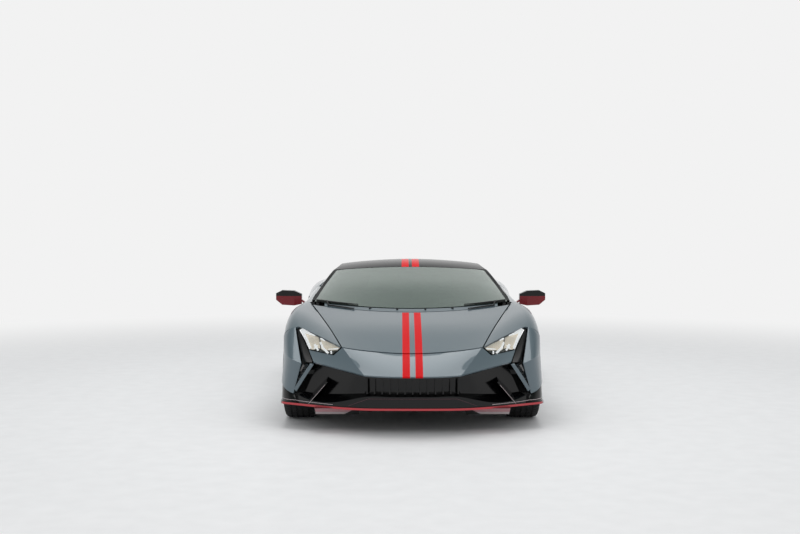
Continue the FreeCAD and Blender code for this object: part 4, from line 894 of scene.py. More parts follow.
@dataclass
class Pad:
    """A stuffed pad: a crowned closed form, pulled in between its corners and drawn down along sewn channels.

    Attributes:
        name: the piece's name.
        corners: its four corners on what carries it, round in turn, two along its lower edge first.
        thickness: how high its middle stands.
        channels: how many sewn channels run between its lower and upper edges.
        pinch: how far the middle of each side is pulled in, as a share of its width.
        across: how many steps its mesh takes each way.
        channel_width: the width of a channel, as a share of the pad's length.
        channel_depth: the depth of a channel, as a share of the pad's height.
        fill: how firmly it is stuffed; not used.
    """

    name: str
    corners: tuple[Vector, Vector, Vector, Vector]
    thickness: float
    channels: int = 0
    pinch: float = 0.03
    across: int = 36
    channel_width: float = 0.018
    channel_depth: float = 0.3
    fill: float = 0.6

    def base(self, u: float, v: float) -> Vector:
        """Returns a point of the seat under the pad, u across and v along, each from 0 to 1."""
        pull_u = self.pinch * 4 * v * (1 - v) * (1 - 2 * u)
        pull_v = self.pinch * 4 * u * (1 - u) * (1 - 2 * v)
        a, b, c, d = self.corners
        return a.lerp(b, u + pull_u).lerp(d.lerp(c, u + pull_u), v + pull_v)

    def height(self, u: float, v: float) -> float:
        """Returns how far the pad stands off the seat: round at its edges, sunk along its seams."""
        squareness, arch = 6, 0.18
        edge, end = (1 - abs(2 * place - 1) ** squareness for place in (u, v))
        across = 1 - arch + arch * math.cos(math.pi * (u - 0.5))
        crown = self.thickness * math.sqrt(edge * end) * across
        sunk = sum(math.exp(-((v - seam) / self.channel_width) ** 2) for seam in self.seam_places())
        return crown * (1 - self.channel_depth * min(sunk, 1.0))

    def seam_places(self) -> list[float]:
        """Returns how far along the pad each seam runs."""
        return [k / (self.channels + 1) for k in range(1, self.channels + 1)]

    def build(self, finish: Finish, body: str = CHASSIS) -> None:
        """Makes the pad and its seams.

        Args:
            finish: its cover.
            body: the body that it rides on.
        """
        a, b, _, d = self.corners
        normal = (b - a).cross(d - a).normalized()
        if normal.z < 0:
            normal = -normal
        shares = [(1 - math.cos(math.pi * i / self.across)) / 2 for i in range(self.across + 1)]
        lift = 0.2 * MM
        top = [[self.base(u, v) + normal * (self.height(u, v) + lift) for u in shares] for v in shares]
        foot = [[self.base(u, v) + normal * lift for u in shares] for v in shares]
        shape = Shape().rows(top).rows([row[::-1] for row in foot])
        made = shape.piece(self.name, finish, body, sharp_deg=75.0)
        face_outward(made.data, weld=0.02 * MM)
        self.seams(normal, body)

    def seams(self, normal: Vector, body: str) -> None:
        """Runs the red thread along each channel."""
        shape = Shape()
        for v in self.seam_places():
            shape.tube([self.base(u, v) + normal * (self.height(u, v) + 0.9 * MM)
                        for u in (0.03 + 0.94 * i / 20 for i in range(21))], 1.1 * MM, 5)
        if self.channels:
            shape.piece(f"{self.name}_thread", RED_THREAD, body)


@dataclass
class Cabin:
    """What lies in the cabin on the CAD seats, dash and steering wheel.

    Attributes:
        seat_middle: the half-breadth of a seat's middle line, in mm.
        wheel_centre: the steering wheel's middle as (station, half-breadth, height) in mm.
        wheel_tilt: how far the wheel leans, in degrees.
        boss: the outline of its padded cover as (radius, lift) in mm, rim first.
        wheel_pad: how far out a switch pad's middle lies, then half its breadth and half its height, in mm.
        hood: half the breadth of the hood over the instruments, and the height of its foot, in mm.
        hood_line: its (station, crown) in mm, windscreen end first.
        instruments: their display's station, half breadth, foot and crown, in mm.
        screen_foot: the middle of the centre display's lower edge as (station, half-breadth, height) in mm.
        screen_half: half its breadth, in mm.
        screen_rise: how far its upper edge lies behind and above the lower one, in mm.
        switches: how many there are, and from one to the next, in mm.
        switch_size: one switch, across, along and up, in mm.
        switch_place: the front lower edge of their row as (station, height) in mm.
        armrest: half the armrest's breadth, then its two ends as (station, height), in mm.
        vent_middles: the half-breadth of each vent's middle, in mm.
        vent_place: the station and the height of all of them, in mm.
        vent_radii: the radius of a vent's rim and of its opening, in mm.
        mirror_z: the height of the mirror's middle, in mm.
        mirror_size: half the breadth and half the height of its shell, and the same for its glass, in mm.
        mirror_line: the shell's (station, share of its full size), windscreen side first.
    """

    seat_middle: float = 375.0
    wheel_centre: Point = (1800, 375, 690)
    wheel_tilt: float = 24.0
    boss: tuple[Pair, ...] = ((50, 0), (50, 8), (44, 14), (26, 17), (0.5, 18))
    wheel_pad: Sequence[float] = (88, 30, 17)
    hood: Pair = (130, 760)
    hood_line: tuple[Pair, ...] = ((1560, 18.6), (1600, 62), (1690, 62))
    instruments: Sequence[float] = (1640, 112, 758, 48)
    screen_foot: Point = (1655, 0, 604)
    screen_half: float = 98
    screen_rise: Pair = (-120, 78)
    switches: tuple[int, float] = (7, 26)
    switch_size: Sequence[float] = (18, 22, 8)
    switch_place: Pair = (1700, 568)
    armrest: tuple[float, Pair, Pair] = (80, (2180, 461), (2480, 452))
    vent_middles: tuple[tuple[str, float], ...] = (("outer", 630), ("inner", 150))
    vent_place: Pair = (1697, 692)
    vent_radii: Pair = (44, 34)
    mirror_z: float = 1044
    mirror_size: tuple[Pair, Pair] = ((112, 26), (104, 22))
    mirror_line: tuple[Pair, ...] = ((1985, 0.55), (1992, 0.92), (2012, 1.0), (2016, 0.96))

    def build(self) -> None:
        """Makes the pads, the displays, the vents and the mirror."""
        for side in SIDES:
            self.seat(side)
            self.vents(side)
        self.binnacle()
        self.console()
        self.wheel_boss()
        self.inner_mirror()

    def seat(self, side: str) -> None:
        """Makes the cushion, back and head pads of one seat, each between a lower and an upper line."""
        middle = sign_of(side) * self.seat_middle
        for name, half, low, high, thickness, channels, cover in (
            ("cushion", 150, (2048, 317), (2352, 269), 48, 3, LEATHER),
            ("back", 150, (2384, 318), (2540, 660), 42, 5, MICROFIBRE),
            ("head", 120, (2566, 731), (2594, 850), 34, 0, LEATHER),
        ):
            corners = (at(low[0], middle - half, low[1]), at(low[0], middle + half, low[1]),
                       at(high[0], middle + half, high[1]), at(high[0], middle - half, high[1]))
            Pad(f"seat_{name}_{side}", corners, thickness * MM, channels).build(cover)

    def arch(self, station: float, half: float, foot: float, crown: float) -> list[Vector]:
        """Returns a flattened arch before the driver, from its half breadth, foot and crown in mm."""
        half_turn = (math.pi * i / 12 for i in range(13))
        return [at(station, self.seat_middle + half * math.cos(a), foot + crown * math.sin(a))
                for a in half_turn]

    def binnacle(self) -> None:
        """Makes the hood over the instruments, and their dark display under it."""
        rows = [self.arch(station, *self.hood, crown) for station, crown in self.hood_line]
        inner = [[p + Vector((0, 0, -6 * MM)) for p in row] for row in rows]
        shell = Shape().rows(rows).rows([row[::-1] for row in inner])
        shell.rows([rows[-1], inner[-1]]).rows([rows[0], inner[0]])
        shell.piece("binnacle_hood", SOFT_DASH)
        face = self.arch(*self.instruments)
        Shape().plate(face, Vector((0, -6 * MM, 0))).piece("instrument_display", DISPLAY_GLASS)

    def console(self) -> None:
        """Makes the centre display, the row of switches under it and the armrest."""
        facing = Vector((0, 0.62, 0.78))
        foot = at(*self.screen_foot)
        side = Vector((self.screen_half, 0, 0)) * MM
        rise = Vector((0, *self.screen_rise)) * MM
        corners = [foot - side, foot + side, foot + side + rise, foot - side + rise]
        Shape().plate([p + facing * MM for p in corners], facing * 6 * MM).piece(
            "centre_display", DISPLAY_GLASS)
        keys = Shape()
        count, pitch = self.switches
        station, height = self.switch_place
        for i in range(count):
            low = at(station, pitch * (i - (count - 1) / 2) - self.switch_size[0] / 2, height)
            keys.block(low, low + Vector(self.switch_size) * MM)
        keys.piece("console_switches", BRUSHED_STEEL)
        half, (front, front_z), (rear, rear_z) = self.armrest
        corners = (at(front, -half, front_z), at(front, half, front_z),
                   at(rear, half, rear_z), at(rear, -half, rear_z))
        Pad("armrest", corners, 26 * MM).build(LEATHER)

    def vents(self, side: str) -> None:
        """Makes one outer and one inner air vent on the face of the dash."""
        depth = Vector((0, 9 * MM, 0))
        station, height = self.vent_place
        for name, middle in self.vent_middles:
            centre = at(station, sign_of(side) * middle, height)
            rim, opening = ([centre + Vector((math.cos(a), 0, 0.8 * math.sin(a))) * radius * MM
                             for a in turns(6)] for radius in self.vent_radii)
            rows = [rim, [p + depth for p in rim], [p + depth for p in opening], opening, rim]
            Shape().rows(rows, closed=True).piece(f"vent_{name}_{side}", SATIN_BLACK)
            slats = Shape()
            for z in (-15, 0, 15):
                near, far = ([centre + Vector((x, y, z + fall)) * MM for x in (-30, 30)]
                             for y, fall in ((1, 0), (7, -3)))
                slats.slab(near, far, Vector((0, 0, 2 * MM)))
            slats.piece(f"vent_slats_{name}_{side}", GLOSS_BLACK)

    def wheel_boss(self) -> None:
        """Makes the padded cover of the steering wheel's boss, left blank, with a switch pad on each side."""
        tilt = math.radians(self.wheel_tilt)
        axis = Vector((0, math.cos(tilt), math.sin(tilt)))
        across = Vector((1, 0, 0))
        upward = Vector((0, -axis.z, axis.y))
        centre = at(*self.wheel_centre) + axis * 10.5 * MM
        rings = [[centre + axis * lift * MM + (across * math.cos(a) + upward * math.sin(a)) * radius * MM
                  for a in turns(24)] for radius, lift in self.boss]
        body = "steering_wheel"
        Shape().prism(*rings).piece("wheel_boss", SOFT_DASH, body)
        aside, half, rise = self.wheel_pad
        for side in SIDES:
            middle = centre + (across * sign_of(side) * aside + axis * 2) * MM
            rings = [[middle + (axis * lift + (across * u * half + upward * v * rise) * grow) * MM
                      for u, v in ((-1, -1), (1, -0.7), (1, 0.7), (-1, 1))]
                     for lift, grow in ((-8, 1.0), (4, 1.0), (7, 0.85))]
            Shape().prism(*rings).piece(f"wheel_pad_{side}", SATIN_BLACK, body)

    def inner_mirror(self) -> None:
        """Hangs the cabin's mirror from the top of the windscreen."""
        (half, rise), (glass_half, glass_rise) = self.mirror_size
        shell = Shape().prism(*(
            [at(station, half * grow * u, self.mirror_z + rise * grow * v) for u, v in MIRROR_OUTLINE]
            for station, grow in self.mirror_line))
        stalk = at(1998, 0, self.mirror_z + 24), at(1984, 0, self.mirror_z + 42)
        shell.tube(stalk, 9 * MM, 8)
        shell.piece("cabin_mirror", SATIN_BLACK)
        rear = self.mirror_line[-1][0] + 0.5
        face = [at(rear, glass_half * u, self.mirror_z + glass_rise * v) for u, v in MIRROR_OUTLINE]
        Shape().plate(face, Vector((0, 1.2 * MM, 0))).piece("cabin_mirror_glass", MIRROR_GLASS)


@dataclass
class DoorTrim:
    """The flush handle on one door, with the shade of the slot round it painted as a thin dark ring on the
    door.

    Attributes:
        side: "left" or "right".
        door: the CAD door that it lies on.
        handle: the handle's middle as (station, height) in mm.
        outline: its outline round that middle, in mm.
    """

    side: str
    door: Skin
    handle: Pair = (2475.0, 700.0)
    outline: tuple[Pair, ...] = ((-78, -2), (-60, -13), (60, -9), (78, 4), (62, 13), (-58, 11))

    def ring(self, along_share: float, up_share: float, lift: float) -> list[Vector]:
        """Returns the outline on the door, stretched both ways, so far off its face."""
        station, height = self.handle
        return [self.door.from_beside(self.side, station + s * along_share, height + z * up_share, lift)
                for s, z in self.outline]

    def build(self) -> None:
        """Makes the handle and the painted shade of its slot."""
        body = f"door_{self.side}"
        Shape().prism(self.ring(1, 1, 0.3 * MM), self.ring(0.97, 0.86, 2.6 * MM)).piece(
            f"handle_{self.side}", BODY_PAINT, body)
        Shape().prism(self.ring(1.05, 1.25, 0.2 * MM), self.ring(1.05, 1.25, 0.5 * MM)).piece(
            f"handle_slot_shade_{self.side}", SATIN_BLACK, body)


@dataclass
class SideIntake:
    """The closed duct behind the hole in one rear quarter, with a honeycomb guard and a guide vane.

    Attributes:
        side: "left" or "right".
        quarter: the CAD quarter that it sits behind.
        outline: the hole as (station, height) in mm.
        near_mm: how far behind the panel the duct starts.
        far_mm: how far behind the panel it ends.
        cell_mm: the size of the guard's cells.
        clear_mm: how far past the hole's corners the panel is looked for, along the car and up.
    """

    side: str
    quarter: Skin
    outline: tuple[Pair, ...] = ((2720, 560), (2760, 820), (3040, 800), (2960, 600))
    near_mm: float = 20.0
    far_mm: float = 82.0
    cell_mm: float = 30.0
    clear_mm: Pair = (18, 14)

    def ring(self, grow: float, behind_mm: float) -> list[Vector]:
        """Returns the hole's outline scaled about its middle, so far behind the panel."""
        middle = middle_of(self.outline)
        ring = []
        for (s, z), (station, height) in zip(self.outline, scaled(self.outline, middle, grow)):
            panel = self.quarter.from_beside(self.side, s + math.copysign(self.clear_mm[0], s - middle[0]),
                                             z + math.copysign(self.clear_mm[1], z - middle[1]), 0.0)
            ring.append(at(station, panel.x / MM - sign_of(self.side) * behind_mm, height))
        return ring

    def build(self) -> None:
        """Makes the duct, the guard and the vane."""
        near, far = self.near_mm, self.far_mm
        duct = Shape().rows([self.ring(grow, place) for grow, place in (
            (1.10, near), (1.04, far), (0.96, far), (1.02, near), (1.10, near))], closed=True)
        duct.prism(self.ring(0.98, far - 1), self.ring(0.98, far + 3))
        duct.piece(f"intake_duct_{self.side}", LINER_FELT)
        guard_x = (sum(self.ring(1.0, near + 24), Vector()) / 4).x / MM
        guard = Shape()
        for ends in honeycomb(self.outline, self.cell_mm):
            guard.tube([at(s, guard_x, z) for s, z in ends], 1.6 * MM, 5)
        guard.piece(f"intake_guard_{self.side}", GLOSS_BLACK)
        line = self.ring(0.98, near - 2)
        upper, lower = line[1].lerp(line[2], 0.36), line[0].lerp(line[3], 0.44)
        rear = [lower + Vector((0, 34 * MM, 0)), upper + Vector((0, 26 * MM, 0))]
        vane = Shape().slab([lower, upper], rear, Vector((-sign_of(self.side) * 5 * MM, 0, 0)))
        vane.piece(f"intake_vane_{self.side}", GLOSS_BLACK)


@dataclass
class Tail:
    """The dressing of the tail: honeycomb, lamp guides, reflectors, outlet throats and the seam's seal.

    Attributes:
        panel: the CAD tail panel.
        bumper: the CAD rear bumper.
        mesh: one side's honeycomb area as (half-breadth, height) in mm.
        cell_mm: the size of its cells.
        guides: the lines that run along the lamp's arrow, as (half-breadth, height) in mm.
        reflector: the reflector's corners, as (half-breadth, height) in mm.
        outlet: the middle of one outlet, as (half-breadth, height) in mm.
        throat: the closed section of its throat as (station, radius) in mm.
        baffle: half the breadth of the baffle across it, then its first and last station, in mm.
    """

    panel: Skin
    bumper: Skin
    mesh: tuple[Pair, ...] = ((282, 566), (282, 716), (470, 738), (628, 730), (676, 655), (690, 566))
    cell_mm: float = 34.0
    guides: tuple[tuple[Pair, ...], ...] = (
        ((510, 761), (600, 757), (676, 752)), ((676, 752), (760, 761), (840, 773)),
        ((670, 738), (688, 706), (700, 680)))
    reflector: tuple[Pair, ...] = ((560, 366), (700, 372), (694, 384), (566, 378))
    outlet: Pair = (190, 640)
    throat: tuple[Pair, ...] = ((4300, 60), (4440, 60), (4440, 57), (4304, 57), (4300, 60))
    baffle: Sequence[float] = (50, 4320, 4400)

    def build(self) -> None:
        """Makes every piece of both sides."""
        for side in SIDES:
            self.honeycomb(side)
            self.lamp(side)
            self.lining(side)
        self.seal()

    def honeycomb(self, side: str) -> None:
        """Lays the honeycomb of one side on the panel, with its border."""
        out = sign_of(side)
        shape = Shape()
        walls = [(ends, 2.2 * MM, 5) for ends in honeycomb(self.mesh, self.cell_mm)]
        border = divided([*self.mesh, self.mesh[0]], 8)
        for line, radius, sides in (*walls, (border, 3.2 * MM, 6)):
            shape.tube([self.panel.from_behind(out * x, z, 2 * MM) for x, z in line], radius, sides)
        shape.piece(f"tail_mesh_{side}", GLOSS_BLACK)

    def lamp(self, side: str) -> None:
        """Runs a guide along the lamp's arrow, bright by its painted glow, and sets a small reflector in the
        bumper under it.
        """
        out = sign_of(side)
        shape = Shape()
        for path in self.guides:
            line = [p for ends in zip(path, path[1:]) for p in divided(ends, 4)]
            shape.tube([self.panel.from_behind(out * x, z, 12.8 * MM) for x, z in line], 3 * MM, 6)
        shape.piece(f"tail_guide_{side}", RED_GUIDE_PAINTED_GLOW)
        low = [self.bumper.from_behind(out * x, z, 0.2 * MM) for x, z in self.reflector]
        Shape().plate(low, Vector((0, 2.5 * MM, 0))).piece(f"reflector_{side}", RED_LENS)

    def lining(self, side: str) -> None:
        """Makes the dark throat inside one outlet, with a baffle across it."""
        x, z = sign_of(side) * self.outlet[0], self.outlet[1]
        rings = [[at(station, x + radius * math.cos(a), z + 0.8 * radius * math.sin(a)) for a in turns(6)]
                 for station, radius in self.throat]
        shape = Shape().rows(rings, closed=True)
        half, *stations = self.baffle
        near, far = ([at(station, x - half, z), at(station, x + half, z)] for station in stations)
        shape.slab(near, far, Vector((0, 0, 2 * MM)))
        shape.piece(f"outlet_throat_{side}", SATIN_BLACK)

    def seal(self) -> None:
        """Closes the seam between panel and bumper with a dark strip just behind it."""
        reach, steps, bumper_z = 850, 20, 538
        line = [self.bumper.from_behind(reach * i / steps, bumper_z, 0.0) for i in range(-steps, steps + 1)]
        lower, upper = ([Vector((p.x, p.y - behind * MM, z * MM)) for p in line]
                        for behind, z in ((19, 515), (24, 575)))
        Shape().slab(lower, upper, Vector((0, -2 * MM, 0))).piece("tail_seal", SATIN_BLACK)


@dataclass
class Headlamp:
    """A headlamp behind its clear cover, unlit: two stepped bowls and white light guides made bright by
    painted glow, and dark wedges.

    Attributes:
        side: "left" or "right".
        tip: the corner by the lid, as (station, half-breadth, height) in mm.
        top: the corner by the crest of the wing.
        outer: the lower corner beside the dark blade.
        lower: the lower corner by the nose.
        gap_mm: from the opening's corners to the cover's.
        back_mm: how far behind the cover the lamp's back lies.
        guide_mm: how far behind it the guides lie.
    """

    side: str
    tip: Point = (355, 500, 589)
    top: Point = (740, 842, 702)
    outer: Point = (500, 750, 556)
    lower: Point = (335, 565, 533)
    gap_mm: float = 10.0
    back_mm: float = 46.0
    guide_mm: float = 6.0

    def spot(self, u: float, v: float, depth_mm: float) -> Vector:
        """Returns a point of the lamp.

        Args:
            u: 0 at the nose to 1 at the wing.
            v: 0 at the upper edge to 1 at the lower.
            depth_mm: how far behind the cover.

        Returns:
            The point, on this lamp's side.
        """
        corners = [at(*c) for c in (self.tip, self.top, self.lower, self.outer)]
        middle = sum(corners, Vector()) / 4
        a, b, c, d = (p + (middle - p).normalized() * self.gap_mm * MM for p in corners)
        upper, under = a.lerp(b, u), c.lerp(d, u)
        point = upper.lerp(under, v) + LAMP_INWARD * depth_mm * MM
        point.x *= sign_of(self.side)
        return point

    def sheet(self, depth_mm: float, thick_mm: float) -> Shape:
        """Makes a plate over the whole opening at one depth."""
        upper, under = ([self.spot(i / 10, v, depth_mm) for i in range(11)] for v in (0, 1))
        return Shape().slab(upper, under, LAMP_INWARD * thick_mm * MM)

    def build(self) -> None:
        """Makes the lamp in place of one half of the CAD node."""
        side = self.side
        glass = self.sheet(0.4, 2.4).piece(f"lamp_cover_{side}", LAMP_COVER)
        if side == "left":
            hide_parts("headlamps")
        self.sheet(self.back_mm, 3.0).piece(f"lamp_back_{side}", GLOSS_BLACK)
        walls = Shape()
        edge = [(0, 0), (1, 0), (1, 1), (0, 1), (0, 0)]
        for ends in zip(edge, edge[1:]):
            first, second = ([self.spot(u, v, depth) for u, v in ends] for depth in (3, self.back_mm))
            inward = (self.spot(0.5, 0.5, 20) - (first[0] + first[1]) / 2).normalized() * 2 * MM
            walls.slab(first, second, inward)
        walls.piece(f"lamp_walls_{side}", GLOSS_BLACK)
        self.bowls()
        self.guides()

    def bowls(self) -> None:
        """Makes the two reflector bowls, bright by their painted glow: stacks of stepped facets that leave
        dark wedges below.
        """
        shape = Shape()
        for outline, focus in (
            (((0.53, 0.03), (0.97, 0.03), (0.97, 0.97), (0.80, 0.93), (0.66, 0.78), (0.53, 0.74)),
             (0.70, 0.42)),
            (((0.02, 0.04), (0.50, 0.03), (0.50, 0.74), (0.40, 0.82), (0.28, 0.70), (0.02, 0.34)),
             (0.34, 0.34)),
        ):
            steps, rise_mm, first_mm = 5, 5, 34
            for step in range(steps):
                ring = scaled(outline, focus, 1 - step / steps)
                facet = [self.spot(u, v, first_mm - rise_mm * step) for u, v in ring]
                shape.plate(facet, LAMP_INWARD * 6 * MM)
        shape.piece(f"lamp_bowls_{self.side}", REFLECTOR_PAINTED_GLOW, sharp_deg=20.0)

    def ribbon(self, shape: Shape, path: Sequence[Pair], wide_mm: float, end_mm: float) -> None:
        """Adds a straight-sided strip of light guide along (u, v) points.

        Args:
            shape: the shape that it joins.
            path: its middle line.
            wide_mm: its width at the start.
            end_mm: its width at the end.
        """
        line = [self.spot(u, v, self.guide_mm) for u, v in path]
        west, east, low, high = (
            self.spot(u, v, self.guide_mm) for u, v in ((0, 0.5), (1, 0.5), (0.5, 0), (0.5, 1)))
        normal = (east - west).cross(high - low).normalized()
        first, second = [], []
        for i, point in enumerate(line):
            run = (line[min(i + 1, len(line) - 1)] - line[max(i - 1, 0)]).normalized()
            width = (wide_mm + (end_mm - wide_mm) * i / (len(line) - 1)) * MM / 2
            aside = run.cross(normal).normalized() * width
            first.append(point + aside)
            second.append(point - aside)
        shape.slab(first, second, LAMP_INWARD * 5 * MM)

    def guides(self) -> None:
        """Makes the white guides, bright by their painted glow: strips round the rim and along the bowls, and
        legs over the dark wedges.
        """
        shape = Shape()
        for path, wide, end in (
            ([(0.975, 0.05), (0.95, 0.50), (0.965, 0.96)], 26, 18),
            ([(0.95, 0.07), (0.80, 0.08), (0.62, 0.06)], 34, 8),
            ([(0.50, 0.34), (0.43, 0.66), (0.19, 0.96)], 14, 16),
            ([(0.71, 0.64), (0.62, 0.95)], 18, 13),
            ([(0.14, 0.68), (0.06, 0.94)], 13, 10),
            ([(0.24, 0.62), (0.02, 0.24)], 7, 11),
            ([(0.59, 0.62), (0.80, 0.92)], 9, 14),
            ([(0.49, 0.06), (0.38, 0.10)], 16, 6),
        ):
            self.ribbon(shape, path, wide, end)
        shape.piece(f"lamp_guide_{self.side}", GUIDE_PAINTED_GLOW)


@dataclass
class Pinstripes:
    """The lines round the nose: red film on the splitter's edge, and strips of painted reflection and
    highlight over it and on the ramps under it.

    Attributes:
        lip: the CAD splitter that the main line lies on.
        mouth: the CAD intake that the painted thin lines lie on.
        reach_mm: how far to each side the main line runs.
        edge_mm: the height of the splitter's front edge, its foot and its top.
        sill: the painted dark reflected edge over it as (half-breadth, height) in mm.
        strut: the painted pale highlight down each strut of the mouth as (half-breadth, height) in mm.
        brow: the painted pale highlight at each end as (half-breadth, height) in mm.
        ramp_top: the inner upper corner of a ramp as (station, half-breadth, height) in mm.
        ramp_foot: its inner lower corner.
        ramp_outer_mm: the half-breadth of its outer edge.
    """

    lip: Skin
    mouth: Skin
    reach_mm: float = 944.0
    edge_mm: Pair = (172.5, 187.5)
    sill: tuple[Pair, ...] = ((0, 253), (308, 253), (380, 226), (450, 197))
    strut: tuple[Pair, ...] = ((619, 330), (738, 190))
    brow: tuple[Pair, ...] = ((560, 199), (760, 201), (900, 204), (940, 206))
    ramp_top: Point = (190, 398, 176)
    ramp_foot: Point = (300, 486, 118)
    ramp_outer_mm: float = 686

    def build(self) -> None:
        """Lays every line."""
        self.main_line()
        for side in SIDES:
            self.painted_light_line(f"mouth_reflection_{side}", self.sill, 2.4, PAINTED_DARK_REFLECTION, side)
            self.painted_light_line(f"brow_highlight_{side}", self.brow, 2.6, PAINTED_PALE_HIGHLIGHT, side)
            self.painted_light_line(f"strut_highlight_{side}", self.strut, 2.2, PAINTED_PALE_HIGHLIGHT, side)
            self.ramp(side)

    def main_line(self) -> None:
        """Lays the red film over the whole edge of the splitter."""
        low, high = self.edge_mm
        middle = (low + high) / 2
        steps = 48
        breadths = (self.reach_mm * math.sin(math.pi / 2 * i / steps) for i in range(-steps, steps + 1))
        found = (self.lip.from_front(x, middle, 1.4 * MM) for x in breadths)
        path = [p for p in found if p is not None]
        rise = Vector((0, 0, (high - low) / 2 * MM))
        Shape().slab([p + rise for p in path], [p - rise for p in path],
                     Vector((0, 1.0 * MM, 0))).piece("splitter_line", PINSTRIPE)

    def painted_light_line(self, name: str, corners: Sequence[Pair], radius_mm: float, finish: Finish,
                  side: str) -> None:
        """Lays a thin line of painted light on the intake, dark for a reflected edge and pale for a
        highlight.

        Args:
            name: the piece's name.
            corners: (half-breadth, height) in mm of each bend.
            radius_mm: half its width.
            finish: its colour, which is the painted light.
            side: "left" or "right".
        """
        path = []
        for x, z in divided(corners, 11):
            found = self.mouth.from_front(sign_of(side) * x, z, 0.8 * MM)
            if found is not None and (not path or (found - path[-1]).length > 1 * MM):
                path.append(found)
        Shape().tube(path, radius_mm * MM, 6, 0.8).piece(name, finish)

    def ramp(self, side: str) -> None:
        """Paints the floor's reflection on one ramp under the splitter: a pink band and its pale foot."""
        out = sign_of(side)
        lift = Vector((0, -0.7, -1.4)) * MM
        for name, shares, finish in (("upper", (0.02, 0.58), PAINTED_PINK_REFLECTION), ("lower", (0.58, 0.97), PAINTED_PALE_HIGHLIGHT)):
            edges = []
            for share in shares:
                station, inner, z = (a + (b - a) * share for a, b in zip(self.ramp_top, self.ramp_foot))
                edges.append([at(station, out * x, z) + lift for x in (inner, self.ramp_outer_mm)])
            Shape().slab(*edges, Vector((0, 0.4, 0.8)) * MM).piece(f"ramp_{name}_{side}", finish)


@dataclass
class Screen:
    """The windscreen's trim: its black band, the parked wipers, and the washers on the strip before it.

    Attributes:
        skin: the CAD screen, strip and lid that they lie on.
        edge: the screen's side edge as (share of its height, half-breadth in mm).
        band: the width of the black band, as a share of the screen.
        side_mm: the station of its side edge at its foot, and how far that runs back to the roof.
        middle_mm: the same for its middle line.
        arm_foot: where a wiper's arm starts, as (station, half-breadth) in mm.
        arm_head: where the arm leaves the strip.
        blade: where a blade starts and ends, as (share across, share up).
        nozzle: a washer nozzle's half-breadth, station and radius, in mm.
        hook: the same for the foot of a hook of the lid.
    """

    skin: Skin
    edge: tuple[Pair, ...] = ((0.0, 772), (0.46, 713), (0.714, 674), (1.0, 628))
    band: float = 0.045
    side_mm: Pair = (1450, 630)
    middle_mm: Pair = (1200, 810)
    arm_foot: Pair = (1212, 448)
    arm_head: Pair = (1332, 656)
    blade: tuple[Pair, Pair] = ((0.985, 0.016), (0.545, 0.022))
    nozzle: Sequence[float] = (110, 1176, 8)
    hook: Sequence[float] = (328, 1205, 5)

    def spot(self, across: float, up: float, lift: float) -> Vector:
        """Returns a point of the screen.

        Args:
            across: -1 at its right edge to 1 at its left.
            up: 0 at its foot to 1 at the roof.
            lift: how far off the glass, below it where negative.

        Returns:
            The point.
        """
        half = self.edge[-1][1]
        for (u0, x0), (u1, x1) in zip(self.edge, self.edge[1:]):
            if up <= u1:
                half = x0 + (x1 - x0) * (up - u0) / (u1 - u0)
                break
        side, centre = (foot + run * up for foot, run in (self.side_mm, self.middle_mm))
        station = centre + (side - centre) * across ** 2
        return self.skin.ground(half * across, station) + Vector((0, 0, lift))

    def build(self) -> None:
        """Makes the band, the wipers and the washers."""
        self.enamel()
        for side in SIDES:
            self.wiper(side)
            self.washers(side)

    def enamel(self) -> None:
        """Makes the black band round the edge, just under the glass."""
        below = -7.5 * MM
        foot, head, side, inner = 0.012, 1 - 0.012, 0.985, 0.955
        shape = Shape()
        shares = [side * i / 12 for i in range(-12, 13)]
        for edges in ((foot, self.band), (1 - self.band, head)):
            shape.rows([[self.spot(share, up, below) for share in shares] for up in edges])
        heights = [foot + (head - foot) * i / 16 for i in range(17)]
        for edges in ((-side, -inner), (inner, side)):
            shape.rows([[self.spot(share, up, below) for up in heights] for share in edges])
        shape.piece("screen_band", CERAMIC_BAND)

    def wiper(self, side: str) -> None:
        """Makes one parked wiper: a tapered blade on the glass, and its arm over the strip."""
        out = sign_of(side)
        blade = [self.spot(out * across, up, 6 * MM) for across, up in divided(self.blade, 8)]
        shape = Shape()
        for i, ends in enumerate(zip(blade, blade[1:])):
            shape.tube(ends, (7.0 - 0.5 * i) * MM, 6, 1.25)
        arm = []
        for share in (i / 6 for i in range(7)):
            station, x = (a + (b - a) * share for a, b in zip(self.arm_foot, self.arm_head))
            arm.append(self.skin.ground(out * x, station) + Vector((0, 0, 7 * MM)))
        shape.tube(arm, 7 * MM, 8, 0.7)
        shape.tube([arm[-1], blade[2] + Vector((0, 0, 5 * MM))], 6 * MM, 8)
        shape.piece(f"wiper_{side}", SATIN_BLACK)

    def washers(self, side: str) -> None:
        """Makes one washer nozzle and one hook of the lid on the strip."""
        out = sign_of(side)
        shape = Shape()
        for x, station, radius in (self.nozzle, self.hook):
            ground = self.skin.ground(out * x, station)
            shape.tube([ground - Vector((0, 0, 2 * MM)), ground + Vector((0, 0, 7 * MM))], radius * MM, 12)
        hook = self.skin.ground(out * self.hook[0], self.hook[1]) + Vector((0, 0, 6 * MM))
        shape.tube([hook, hook + Vector((-out * 14 * MM, 16 * MM, 3 * MM))], 4 * MM, 8)
        shape.piece(f"washer_{side}", SATIN_BLACK)


